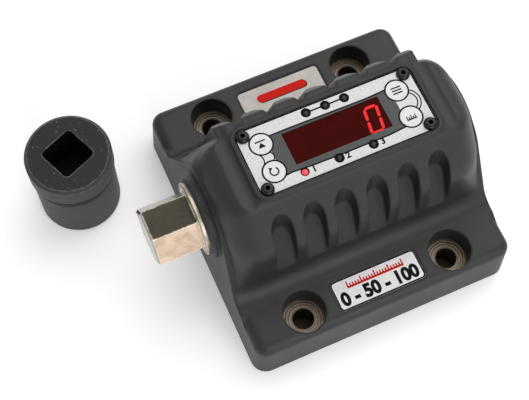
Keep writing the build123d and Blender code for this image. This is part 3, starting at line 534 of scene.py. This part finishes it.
def box_of(node: bpy.types.Object) -> tuple[Vector, Vector]:
    """Gives a CAD node's lowest and highest corner, in millimetres."""
    return Vector(node.bound_box[0]) / MM, Vector(node.bound_box[6]) / MM


def add_object(name: str, data: bpy.types.ID) -> bpy.types.Object:
    """Adds an object to the scene.

    Args:
        name: The object's name.
        data: Its mesh, curve, lamp or camera.

    Returns:
        The object.
    """
    made = bpy.data.objects.new(name, data)
    bpy.context.scene.collection.objects.link(made)
    return made


def add_piece(name: str, mesh: bpy.types.Mesh, finish: Finish, body: Body) -> None:
    """Adds a mesh to the scene as a piece of the object.

    Args:
        name: The piece's name.
        mesh: Its mesh, in metres, in the row frame.
        finish: The finish it gets.
        body: The body it rides on.
    """
    mesh.name = name
    piece = add_object(name, mesh)
    piece.data.materials.clear()
    piece.data.materials.append(finish.material())
    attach(piece, body.value)
    LOG.info("%s rides on %s", name, body.value)


def assign_faces(mesh: bpy.types.Mesh, finishes: Sequence[Finish],
                 choose: Callable[[Vector, Vector], int]) -> None:
    """Gives chosen faces of a mesh a finish of their own.

    Args:
        mesh: The mesh, which has its main finish already.
        finishes: The other finishes, numbered from 1.
        choose: Gives a face's finish number from its centre in millimetres and its normal.
    """
    for finish in finishes:
        mesh.materials.append(finish.material())
    for face in mesh.polygons:
        face.material_index = choose(face.center / MM, face.normal)


@dataclass
class Print:
    """Thin ink shapes, and lines of painted shade, laid on a flat face, collected into one mesh.

    Attributes:
        level: Height of the face, in millimetres.
        thickness: Thickness of the ink, in millimetres.
        shapes: The flat polygons collected so far, in millimetres.
    """

    level: float
    thickness: float = INK
    shapes: list[list[Point]] = field(default_factory=list)

    def polygon(self, points: Iterable[Point]) -> None:
        """Adds a filled simple polygon."""
        self.shapes.append(list(points))

    def stroke(self, points: Sequence[Point], width: float) -> None:
        """Adds a line of one width along points, as one quad for each run.

        Args:
            points: The points along the line.
            width: The line's width.
        """
        sides: list[tuple[Point, Point]] = []
        for index, (x, y) in enumerate(points):
            before = points[max(index - 1, 0)]
            after = points[min(index + 1, len(points) - 1)]
            along = Vector((after[0] - before[0], after[1] - before[1])).normalized()
            across = Vector((-along.y, along.x)) * width / 2
            sides.append(((x + across.x, y + across.y), (x - across.x, y - across.y)))
        for (a, b), (c, d) in zip(sides, sides[1:]):
            self.polygon((a, b, d, c))

    def frame(self, centre: Point, size: Point, radius: float, width: float, steps: int = 8) -> None:
        """Adds a rounded rectangular outline.

        Args:
            centre: The outline's centre.
            size: Its outer size along X and Y.
            radius: Its outer corner radius.
            width: The line's width.
            steps: Runs along each corner.
        """
        ways: list[tuple[Point, Point]] = []
        for quarter, (side_x, side_y) in enumerate(((1, 1), (-1, 1), (-1, -1), (1, -1))):
            hub = (centre[0] + side_x * (size[0] / 2 - radius), centre[1] + side_y * (size[1] / 2 - radius))
            for step in range(steps + 1):
                angle = math.radians(90.0 * quarter + 90.0 * step / steps)
                ways.append((hub, (math.cos(angle), math.sin(angle))))
        ways.append(ways[0])
        for first, second in zip(ways, ways[1:]):
            self.polygon((hub[0] + way[0] * reach, hub[1] + way[1] * reach) for (hub, way), reach in (
                (first, radius - width), (first, radius), (second, radius), (second, radius - width)))

    def ring(self, centre: Point, radius: float, width: float, start: float = 0.0, turn: float = 360.0,
             steps: int = 48) -> None:
        """Adds a ring or an arc of a ring.

        Args:
            centre: The ring's centre.
            radius: Radius of the middle of the line.
            width: The line's width.
            start: Angle where it starts, in degrees.
            turn: How far it goes round, in degrees.
            steps: Runs along it.
        """
        inner, outer = radius - width / 2, radius + width / 2
        angles = [math.radians(start + turn * step / steps) for step in range(steps + 1)]
        for first, second in zip(angles, angles[1:]):
            self.polygon((centre[0] + reach * math.cos(angle), centre[1] + reach * math.sin(angle))
                         for reach, angle in (
                             (inner, first), (outer, first), (outer, second), (inner, second)))

    def pill(self, centre: Point, length: float, width: float, steps: int = 16) -> None:
        """Adds a filled bar with round ends, lying along X.

        Args:
            centre: The bar's centre.
            length: Its length.
            width: Its width.
            steps: Runs along each end.
        """
        reach, radius = (length - width) / 2, width / 2
        self.polygon((centre[0] + side * reach + radius * math.sin(math.pi * step / steps) * side,
                      centre[1] - side * radius * math.cos(math.pi * step / steps))
                     for side in (1, -1) for step in range(steps + 1))

    def mesh(self) -> bpy.types.Mesh:
        """Builds the collected shapes as thin closed solids.

        Returns:
            The mesh, in metres.
        """
        sheet = bmesh.new()
        for shape in self.shapes:
            foot = [sheet.verts.new((x * MM, y * MM, self.level * MM)) for x, y in shape]
            head = [sheet.verts.new((x * MM, y * MM, (self.level + self.thickness) * MM)) for x, y in shape]
            sheet.faces.new(foot[::-1])
            sheet.faces.new(head)
            for index in range(len(shape)):
                after = (index + 1) % len(shape)
                sheet.faces.new((foot[index], foot[after], head[after], head[index]))
        bmesh.ops.recalc_face_normals(sheet, faces=sheet.faces)
        mesh = bpy.data.meshes.new("print")
        sheet.to_mesh(mesh)
        sheet.free()
        return mesh


@dataclass
class Figures:
    """Plain figures set as a thin mesh.

    Attributes:
        words: The figures to set.
        centre: Their centre, in millimetres.
        level: Height of the face they lie on, in millimetres.
        height: Height of a figure, in millimetres.
        squeeze: Width factor.
        weight: How much each stroke is thickened, as a share of the type size.
        face_share: Height of a figure as a share of the type size.
    """

    words: str
    centre: Point
    level: float
    height: float
    squeeze: float
    weight: float
    face_share: float = 0.72

    def mesh(self) -> bpy.types.Mesh:
        """Sets the figures.

        Returns:
            The mesh, in metres.
        """
        curve = bpy.data.curves.new("figures", "FONT")
        curve.body = self.words
        curve.align_x = "CENTER"
        curve.align_y = "CENTER"
        curve.size = 1.0
        curve.offset = self.weight
        curve.extrude = 0.5
        holder = add_object("figures", curve)
        bpy.context.view_layer.update()
        mesh = bpy.data.meshes.new_from_object(holder)
        bpy.data.objects.remove(holder)
        bpy.data.curves.remove(curve)
        tall = self.height / self.face_share
        middle = Vector((*self.centre, self.level + INK / 2)) * MM
        mesh.transform(Matrix.Translation(middle)
                       @ Matrix.Diagonal((tall * self.squeeze * MM, tall * MM, INK * MM, 1.0)))
        return mesh


@dataclass
class CadDressing:
    """The finishes of the CAD nodes, with bared bolt seats, painted shade and highlight on the hexagon's
    flats, and painted shade in the adaptor's hollows, the screws' recesses and the panel's cut edges.

    Lengths are in millimetres.

    Attributes:
        bore: Radius that takes in a bench bolt's counterbore.
        seat: Height of the bolt seat.
        hex_root: Where the hexagon meets its collar along X.
        adaptor: The adaptor's axis.
        adaptor_top: The adaptor's height.
        adaptor_socket: Radius that takes in the adaptor's sockets.
        socket_rim: Depth of the sockets' rims, which keep the outer finish.
        groove: Foot and top of the adaptor's groove.
        groove_reach: Radius that takes in the groove's floor.
        screw_x: Half the spacing of the panel screws along X.
        screw_y: Half the spacing of the panel screws along Y.
        screw_middle: Centre of the panel screws along Y.
        screw_recess: Radius that takes in a screw's recess.
        screw_floor: Height of the recesses' floors.
        slack: How far off a flat face's own height its faces may lie.
        smooth_angle: Edges sharper than this stay sharp, in degrees.
    """

    bore: float = 10.9
    seat: float = 15.0
    hex_root: float = -73.6
    adaptor: Point = (-117.0, 57.0)
    adaptor_top: float = 51.0
    adaptor_socket: float = 16.2
    socket_rim: float = 0.5
    groove: Point = (36.5, 39.1)
    groove_reach: float = 21.95
    screw_x: float = 41.5
    screw_y: float = 14.35
    screw_middle: float = -1.45
    screw_recess: float = 1.15
    screw_floor: float = 89.9
    slack: float = 0.1
    smooth_angle: float = 32.0

    def dress(self, nodes: Nodes) -> None:
        """Gives each CAD node its finish, then some of its faces one of their own.

        Args:
            nodes: The CAD nodes by name.
        """
        for name, node in nodes.items():
            node.data.materials.clear()
            node.data.materials.append(NODE_FINISHES[name].material())
            node.data.shade_smooth()
            node.data.set_sharp_from_angle(angle=math.radians(self.smooth_angle))
            LOG.info("node %s: %s", name, NODE_FINISHES[name].name)
        for name, finishes, choose in (
                ("housing", (SEAT_METAL, BORE_METAL), self.bolt_face),
                ("torque_shaft", (HEX_TOP_SHADE, HEX_FRONT_HIGHLIGHT), self.hexagon_face),
                ("square_adaptor", (OXIDE_TOP, OXIDE_RECESS_SHADE), self.adaptor_face),
                ("panel_screws", (SCREW_RECESS_SHADE,), self.screw_face),
                ("display_panel", (PANEL_GAP_SHADE,), self.panel_face)):
            assign_faces(nodes[name].data, finishes, choose)

    def bolt_face(self, centre: Vector, normal: Vector) -> int:
        """Bares the metal of the housing round the bench bolts.

        Args:
            centre: A face's centre.
            normal: Its normal.

        Returns:
            1 on a bolt seat, 2 in a bolt hole, or 0.
        """
        reach = math.hypot(abs(centre.x) - BOLT_PLACE[0], abs(centre.y) - BOLT_PLACE[1])
        if reach < self.bore and self.slack < centre.z < self.seat + self.slack:
            return 1 if normal.z > UPWARD else 2
        return 0

    def hexagon_face(self, centre: Vector, normal: Vector) -> int:
        """Paints shade on the hexagon's top flat and a highlight on its front flats.

        Args:
            centre: A face's centre.
            normal: Its normal.

        Returns:
            1 on the top flat, darkened as painted shade, 2 on the front flats, lightened and tan as a
            painted highlight, or 0.
        """
        if centre.x >= self.hex_root or abs(normal.x) >= SIDEWAYS:
            return 0
        if normal.z > UPWARD:
            return 1
        return 2 if normal.y < -SIDEWAYS else 0

    def adaptor_face(self, centre: Vector, normal: Vector) -> int:
        """Darkens parts of the adaptor, with painted shade in its groove and sockets.

        Args:
            centre: A face's centre.
            normal: Its normal.

        Returns:
            1 on the darker top, 2 in the groove and the sockets, painted as shade, or 0.
        """
        reach = math.hypot(centre.x - self.adaptor[0], centre.y - self.adaptor[1])
        rim = self.socket_rim
        in_socket = reach < self.adaptor_socket and rim < centre.z < self.adaptor_top - rim
        in_groove = reach < self.groove_reach and self.groove[0] < centre.z < self.groove[1]
        if in_socket or in_groove:
            return 2
        return 1 if centre.z > self.adaptor_top - self.slack else 0

    def screw_face(self, centre: Vector, normal: Vector) -> int:
        """Paints shade in the hexagon recesses of the panel screws, 1."""
        reach = math.hypot(abs(centre.x) - self.screw_x, abs(centre.y - self.screw_middle) - self.screw_y)
        return 1 if reach < self.screw_recess and centre.z > self.screw_floor else 0

    def panel_face(self, centre: Vector, normal: Vector) -> int:
        """Paints shade on the cut edges of the panel, 1, which show as a dark line in its gap."""
        return 1 if abs(normal.z) < 0.5 else 0


@dataclass
class PanelPrint:
    """The printing on the display panel and its keys, a line of painted shade round the panel, and the
    digits behind the window.

    Lengths are in millimetres.

    Attributes:
        nodes: The CAD nodes by name.
        window_lip: How far the window's glass reaches under the panel.
        key_column: Distance of the keys' centres from the middle along X.
        key_rows: Places of the rear and front keys along Y.
        field_gap: Radius of the field's edge round a key.
        range_lamps: Places of the range lamps along X.
        range_row: Place of the range lamps along Y.
        lamp_links: Middles of the lines between the range lamps along X.
        unit_lamps: Places of the unlit unit lamps along X.
        lit_lamp: Place of the lit unit lamp along X.
        unit_row: Place of the unit lamps along Y.
        figure_row: Place of the figures beside the unit lamps along Y.
        line: Width of a thin line.
        border: Width of the field's edges; the line of painted shade round the panel is drawn 0.7 wide.
    """

    nodes: Nodes
    window_lip: float = 1.6
    key_column: float = 35.0
    key_rows: Point = (6.4, -8.7)
    field_gap: float = 5.6
    range_lamps: tuple[float, ...] = (-9.2, 0.7, 10.6)
    range_row: float = 12.9
    lamp_links: Point = (-4.3, 5.6)
    unit_lamps: Point = (-4.7, 12.8)
    lit_lamp: float = -22.2
    unit_row: float = -14.5
    figure_row: float = -14.9
    line: float = 0.6
    border: float = 0.75

    def __post_init__(self) -> None:
        """Finds the faces that the printing lies on."""
        self.level = box_of(self.nodes["display_panel"])[1].z
        self.key_level = box_of(self.nodes["reset_key"])[1].z
        self.digit_level = box_of(self.nodes["digit_modules"])[1].z + INK / 2
        left, right = -self.key_column, self.key_column
        rear, front = self.key_rows
        self.keys = {Body.LIMIT: (left, rear), Body.RESET: (left, front), Body.MODE: (right, rear),
                     Body.UNIT: (right, front)}

    def build(self) -> None:
        """Builds the printing and the digits."""
        self.print_field()
        self.print_lines()
        self.print_units()
        for body, centre in self.keys.items():
            self.print_key(body, centre)
        self.light_digits()

    def field_outline(self) -> tuple[list[Point], list[Point]]:
        """Lists the long edges of the grey field round the window.

        Returns:
            The upper and the lower edge, left to right.
        """
        upper = [(-30.6, 8.9), (-20.0, 8.9), (-8.0, 8.75), (6.0, 8.5), (20.0, 8.35), (30.4, 8.9)]
        lower = [(-30.9, -12.6), (-27.5, -12.3), (-16.7, -12.9), (2.2, -13.2), (21.5, -13.2), (30.9, -12.4)]
        return upper, lower

    def print_field(self) -> None:
        """Prints the grey field between the keys, cut out round the window."""
        upper, lower = self.field_outline()
        low, high = box_of(self.nodes["display_window"])
        x0, y0 = low.x + self.window_lip, low.y + self.window_lip
        x1, y1 = high.x - self.window_lip, high.y - self.window_lip
        ink = Print(self.level, INK / 2)
        ink.polygon([*upper, (x1, y1), (x0, y1)][::-1])
        ink.polygon([*lower, (x1, y0), (x0, y0)])
        ink.polygon([upper[0], (x0, y1), (x0, y0), lower[0], *self.side_edge(-1)])
        ink.polygon([upper[-1], *self.side_edge(1), lower[-1], (x1, y0), (x1, y1)][::-1])
        add_piece("panel_field", ink.mesh(), FIELD_INK, Body.TESTER)

    def side_edge(self, side: int) -> list[Point]:
        """Follows the field's edge round the two keys of one side.

        Args:
            side: -1 for the left side, 1 for the right one.

        Returns:
            The points from one key to the other.
        """
        edge: list[Point] = []
        rear, front = self.key_rows
        for row, start in ((front, -38), (rear, -58)):
            for step in range(7):
                angle = math.radians(start + step * 16)
                edge.append((side * (self.key_column - self.field_gap * math.cos(angle)),
                             row + self.field_gap * math.sin(angle)))
        return edge if side < 0 else edge[::-1]

    def print_lines(self) -> None:
        """Prints the black lines: field edges, key rings, lamp links and the loops beside the keys, and
        paints a line of shade round the panel's edge.
        """
        ink = Print(self.level, 0.05)
        for edge in self.field_outline():
            ink.stroke(edge, self.border)
        # Painted shade: a black line round the panel's edge, where its gap falls dark.
        ink.frame((0.0, -1.45), (90.9, 35.5), 4.35, 0.7)
        for centre in self.keys.values():
            ink.ring(centre, 5.62, 0.68)
        for middle in self.lamp_links:
            ink.stroke([(middle - 2.6, self.range_row), (middle + 2.6, self.range_row)], 0.8)
        between = sum(self.key_rows) / 2
        ink.ring((-34.4, between), 2.6, self.line, 76.0, -152.0, 20)
        ink.ring((-41.4, between), 4.4, self.line, -36.0, 72.0, 20)
        for radius in (4.9, 6.5):
            ink.ring((36.9, between), radius, self.line, -62.0, 124.0, 28)
        for row, lamps in ((self.range_row, self.range_lamps), (self.unit_row, self.unit_lamps)):
            for x in lamps:
                ink.ring((x, row), 2.05, 0.75)
        ink.ring((self.lit_lamp, self.unit_row), 1.95, 0.4)
        add_piece("panel_lines", ink.mesh(), BLACK_INK_AND_SHADE, Body.TESTER)

    def print_units(self) -> None:
        """Prints a plain figure beside each unit lamp."""
        for name, words, x in (("one", "1", -17.6), ("two", "2", -0.4), ("three", "3", 17.4)):
            figure = Figures(words, (x, self.figure_row), self.level, 3.0, 1.05, 0.04)
            add_piece(f"unit_figure_{name}", figure.mesh(), BLACK_INK_AND_SHADE, Body.TESTER)

    def print_key(self, body: Body, centre: Point) -> None:
        """Prints a plain sign on one key.

        Args:
            body: The key's body.
            centre: The key's centre.
        """
        x, y = centre
        bold = 0.7
        ink = Print(self.key_level)
        if body is Body.LIMIT:
            ink.stroke([(x - 2.6, y + 1.5), (x + 2.6, y + 1.5)], bold)
            ink.polygon([(x - 1.8, y - 1.9), (x + 1.8, y - 1.9), (x, y + 0.8)])
        elif body is Body.RESET:
            ink.ring(centre, 2.0, bold, 120.0, 290.0)
            ink.polygon([(x - 2.0, y + 2.7), (x - 0.2, y + 1.9), (x - 1.6, y + 0.6)])
        elif body is Body.MODE:
            for row in (-1.5, 0.0, 1.5):
                ink.stroke([(x - 2.4, y + row), (x + 2.4, y + row)], bold)
        else:
            ink.stroke([(x - 2.5, y - 1.3), (x + 2.5, y - 1.3)], bold)
            for step in range(5):
                rise = 2.0 if step % 2 == 0 else 1.2
                tick = x - 2.1 + step * 1.05
                ink.stroke([(tick, y - 1.2), (tick, y - 1.2 + rise)], 0.5)
        add_piece(f"{body.name.lower()}_key_sign", ink.mesh(), BLACK_INK_AND_SHADE, body)

    def light_digits(self) -> None:
        """Builds the segments of the digits, with a lit nought on the right."""
        count, middle, pitch, row, lit_shift = 4, 0.4, 12.6, -1.75, 0.15
        for index in range(count):
            is_lit = index == count - 1
            x = middle + (index - (count - 1) / 2) * pitch + (lit_shift if is_lit else 0.0)
            lit = Print(self.digit_level, 0.06)
            dark = Print(self.digit_level)
            for segment, shape in self.segments(x, row).items():
                (lit if is_lit and segment != "g" else dark).polygon(shape)
            add_piece(f"digit_{index + 1}_dark", dark.mesh(), SEGMENT_DARK, Body.TESTER)
            if is_lit:
                add_piece(f"digit_{index + 1}_lit", lit.mesh(), SEGMENT_LIT, Body.TESTER)

    def segments(self, x: float, y: float) -> dict[str, list[Point]]:
        """Gives the seven segments of one leaning digit.

        Args:
            x: Centre across.
            y: Centre along.

        Returns:
            Each segment's outline by its usual letter.
        """
        tall, wide, line, gap = 14.6, 7.6, 1.45, 0.18
        lean = math.tan(math.radians(8.0))
        top, edge = (tall - line) / 2, (wide - line) / 2

        def slanted(points: Iterable[Point]) -> list[Point]:
            """Leans points to the right and moves them into place."""
            return [(x + u + v * lean, y + v) for u, v in points]

        def bar(v: float) -> list[Point]:
            """Draws a level segment.

            Args:
                v: Its height.

            Returns:
                Its outline.
            """
            low, high = v - line / 2, v + line / 2
            tip, shoulder = edge - gap, wide / 2 - line - gap
            return slanted([(-tip, v), (-shoulder, low), (shoulder, low), (tip, v), (shoulder, high),
                            (-shoulder, high)])

        def post(u: float, foot: float, head: float) -> list[Point]:
            """Draws an upright segment.

            Args:
                u: Its place across.
                foot: Its lower end.
                head: Its upper end.

            Returns:
                Its outline.
            """
            left, right = u - line / 2, u + line / 2
            low, high = foot + line / 2 + gap, head - line / 2 - gap
            return slanted([(u, foot + gap), (right, low), (right, high), (u, head - gap), (left, high),
                            (left, low)])

        return {"a": bar(top), "g": bar(0.0), "d": bar(-top), "b": post(edge, 0.0, top),
                "c": post(edge, -top, 0.0), "e": post(-edge, -top, 0.0), "f": post(-edge, 0.0, top)}


@dataclass
class FlangePlates:
    """The printing on the two plates in the flange, and the painted shade round them.

    Attributes:
        nodes: The CAD nodes by name.
    """

    nodes: Nodes

    def __post_init__(self) -> None:
        """Finds the plates' faces and middles."""
        self.level = box_of(self.nodes["front_plate"])[1].z
        self.front, self.rear = (sum(corner.y for corner in box_of(self.nodes[name])) / 2
                                 for name in ("front_plate", "rear_plate"))

    def build(self) -> None:
        """Prints a scale and figures on the front plate and a bar on the rear one, and paints a line of
        shade round each plate's edge.
        """
        size, radius = (46.5, 15.9), 2.35
        length, height, rise = 28.0, 4.6, 0.6
        self.print_scale()
        figures = Figures("0 - 50 - 100", (0.0, self.front - 2.9), self.level, 6.8, 0.93, 0.05)
        add_piece("front_figures", figures.mesh(), BLACK_INK_AND_SHADE, Body.TESTER)
        # Painted shade: a black line round each plate's edge, where its recess falls dark.
        for name, middle, width in (("front", self.front, 0.8), ("rear", self.rear, 0.4)):
            border = Print(self.level)
            border.frame((0.0, middle), size, radius, width)
            add_piece(f"{name}_border", border.mesh(), BLACK_INK_AND_SHADE, Body.TESTER)
        for name, shift, lift, finish in (("shade", 0.5, 0.0, BLACK_INK_AND_SHADE), ("bar", 0.0, 0.03, RED_INK)):
            bar = Print(self.level + lift)
            bar.pill((shift, self.rear + rise - shift), length, height)
            add_piece(f"rear_{name}", bar.mesh(), finish, Body.TESTER)

    def print_scale(self) -> None:
        """Prints the red scale with every fifth tick long."""
        count, pitch, short, long = 21, 1.5, 1.9, 3.2
        red = Print(self.level)
        foot = self.front + 2.6
        half = (count - 1) / 2 * pitch
        for step in range(count):
            x = step * pitch - half
            tall = short if step % 5 else long
            red.stroke([(x, foot), (x, foot + tall)], 0.8)
        red.stroke([(-half - 0.4, foot), (half + 0.4, foot)], 1.1)
        add_piece("front_scale", red.mesh(), RED_INK, Body.TESTER)


@dataclass
class Studio:
    """The floor, the lamps, the white surround and the camera.

    Attributes:
        azimuth: The way to the camera, in degrees round from -Y towards +X.
        elevation: How high the camera stands, in degrees above the floor.
        roll: How far the camera leans about its own axis, in degrees.
        distance: How far the camera stands off, in millimetres.
        shift: How far it stands to its right and above, in millimetres.
        lens: Focal length, in millimetres.
        floor_reach: How far the floor reaches, in metres.
        floor_drop: How far the floor lies below the object's underside, in metres.
        floor_glow: How strongly the open floor glows, to stay pale.
        covered: How far the base surely covers the floor along X and Y, in millimetres.
        under_base_shade: Colour of the painted shade on the floor under the base, seen through the bolt
            holes.
        sky_light: Strength of the surround as a lamp.
        sky_seen: Strength of the surround as it is seen.
    """

    azimuth: float = -25.1664
    elevation: float = 66.8245
    roll: float = 1.2721
    distance: float = 641.18
    shift: Point = (-32.214, 0.9735)
    lens: float = 81.841
    floor_reach: float = 6.0
    floor_drop: float = 0.0002
    floor_glow: float = 0.23
    covered: Point = (60.0, 68.0)
    under_base_shade: Colour = (0.115, 0.090, 0.065)
    sky_light: float = 0.55
    sky_seen: float = 1.0

    def build(self) -> None:
        """Builds the studio."""
        self.add_camera()
        self.add_floor()
        self.add_surround()
        self.add_lamp("key_lamp", (0.55, 0.45, 1.20), 1.5, 13.0)
        self.add_lamp("front_lamp", (0.10, -1.15, 0.70), 0.9, 7.5)
        bpy.context.scene.view_settings.view_transform = "Standard"

    def add_camera(self) -> None:
        """Adds the camera where the photograph was taken from."""
        turn, rise, roll = (math.radians(value) for value in (self.azimuth, self.elevation, self.roll))
        back = Vector((math.sin(turn) * math.cos(rise), -math.cos(turn) * math.cos(rise), math.sin(rise)))
        level = Vector((math.cos(turn), math.sin(turn), 0.0))
        rising = back.cross(level)
        right = level * math.cos(roll) + rising * math.sin(roll)
        up = rising * math.cos(roll) - level * math.sin(roll)
        eye = (back * self.distance + level * self.shift[0] + rising * self.shift[1]) * MM
        data = bpy.data.cameras.new("camera")
        data.lens = self.lens
        data.sensor_width = 36.0
        data.clip_start = 0.01
        data.clip_end = 20.0
        camera = add_object("camera", data)
        axes = Matrix((right, up, back)).transposed()
        camera.matrix_world = Matrix.Translation(eye) @ axes.to_4x4()
        bpy.context.scene.camera = camera

    def add_floor(self) -> None:
        """Adds the pale floor under the object, with painted shade under the base."""
        sketch = NodeSketch("floor")
        open_floor = self.beside_base(sketch)
        pale = sketch.blend(sketch.noise(30.0), (0.92, 0.92, 0.92), (0.95, 0.95, 0.95))
        # Painted shade: the floor under the base is dark and does not glow.
        sketch.set_shader({
            "Base Color": sketch.blend(open_floor, self.under_base_shade, pale), "Roughness": 0.9,
            "Specular IOR Level": 0.1, "Emission Color": (1.0, 1.0, 1.0),
            "Emission Strength": sketch.ramp(open_floor, 0.0, 1.0, 0.0, self.floor_glow)})
        mesh = bpy.data.meshes.new("floor")
        places = [(x * self.floor_reach, y * self.floor_reach, -self.floor_drop)
                  for x, y in ((-1, -1), (1, -1), (1, 1), (-1, 1))]
        mesh.from_pydata(places, [], [(0, 1, 2, 3)])
        mesh.materials.append(sketch.material)
        floor = add_object("floor", mesh)

    def beside_base(self, sketch: NodeSketch) -> Socket:
        """Tells the open floor from the painted shade under the base, which shows only through the bolt
        holes.

        Args:
            sketch: The floor's sketch.

        Returns:
            1 on the open floor, 0 under the base.
        """
        size = sketch.axes(sketch.vector("ABSOLUTE", sketch.place).outputs["Vector"])
        beyond = (sketch.ramp(size[axis], reach * MM, (reach + 1.0) * MM)
                  for axis, reach in zip("XY", self.covered))
        return sketch.scalar("MAXIMUM", *beyond)

    def add_surround(self) -> None:
        """Adds a surround that is white to the eye and softer as a lamp."""
        world = bpy.data.worlds.new("surround")
        bpy.context.scene.world = world
        world.use_nodes = True
        sketch = TreeSketch(world.node_tree)
        path = sketch.add("ShaderNodeLightPath").outputs
        direct = sketch.scalar("MAXIMUM", path["Is Camera Ray"], path["Is Glossy Ray"])
        mix = sketch.add("ShaderNodeMixShader")
        sketch.feed(mix.inputs[0], sketch.scalar("MAXIMUM", direct, path["Is Transmission Ray"]))
        for index, strength in enumerate((self.sky_light, self.sky_seen), start=1):
            sky = sketch.add("ShaderNodeBackground")
            sketch.feed(sky.inputs["Strength"], strength)
            sketch.feed(mix.inputs[index], sky.outputs[0])
        sketch.feed(sketch.add("ShaderNodeOutputWorld").inputs["Surface"], mix.outputs[0])

    def add_lamp(self, name: str, place: Colour, size: float, power: float) -> None:
        """Adds a soft square lamp that faces the object.

        Args:
            name: The lamp's name.
            place: Where it stands, in metres.
            size: Its side, in metres.
            power: Its power, in watts.
        """
        data = bpy.data.lights.new(name, "AREA")
        data.size = size
        data.energy = power
        lamp = add_object(name, data)
        lamp.location = place
        lamp.rotation_mode = "QUATERNION"
        lamp.rotation_quaternion = Vector(place).to_track_quat("Z", "Y")


def main() -> None:
    """Loads the frame, dresses it and lights it."""
    logging.basicConfig(level=logging.INFO, format="%(name)s: %(message)s")
    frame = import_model()
    nodes = frame["nodes"]
    CadDressing().dress(nodes)
    PanelPrint(nodes).build()
    FlangePlates(nodes).build()
    Studio().build()


if __name__ == "__main__":
    main()
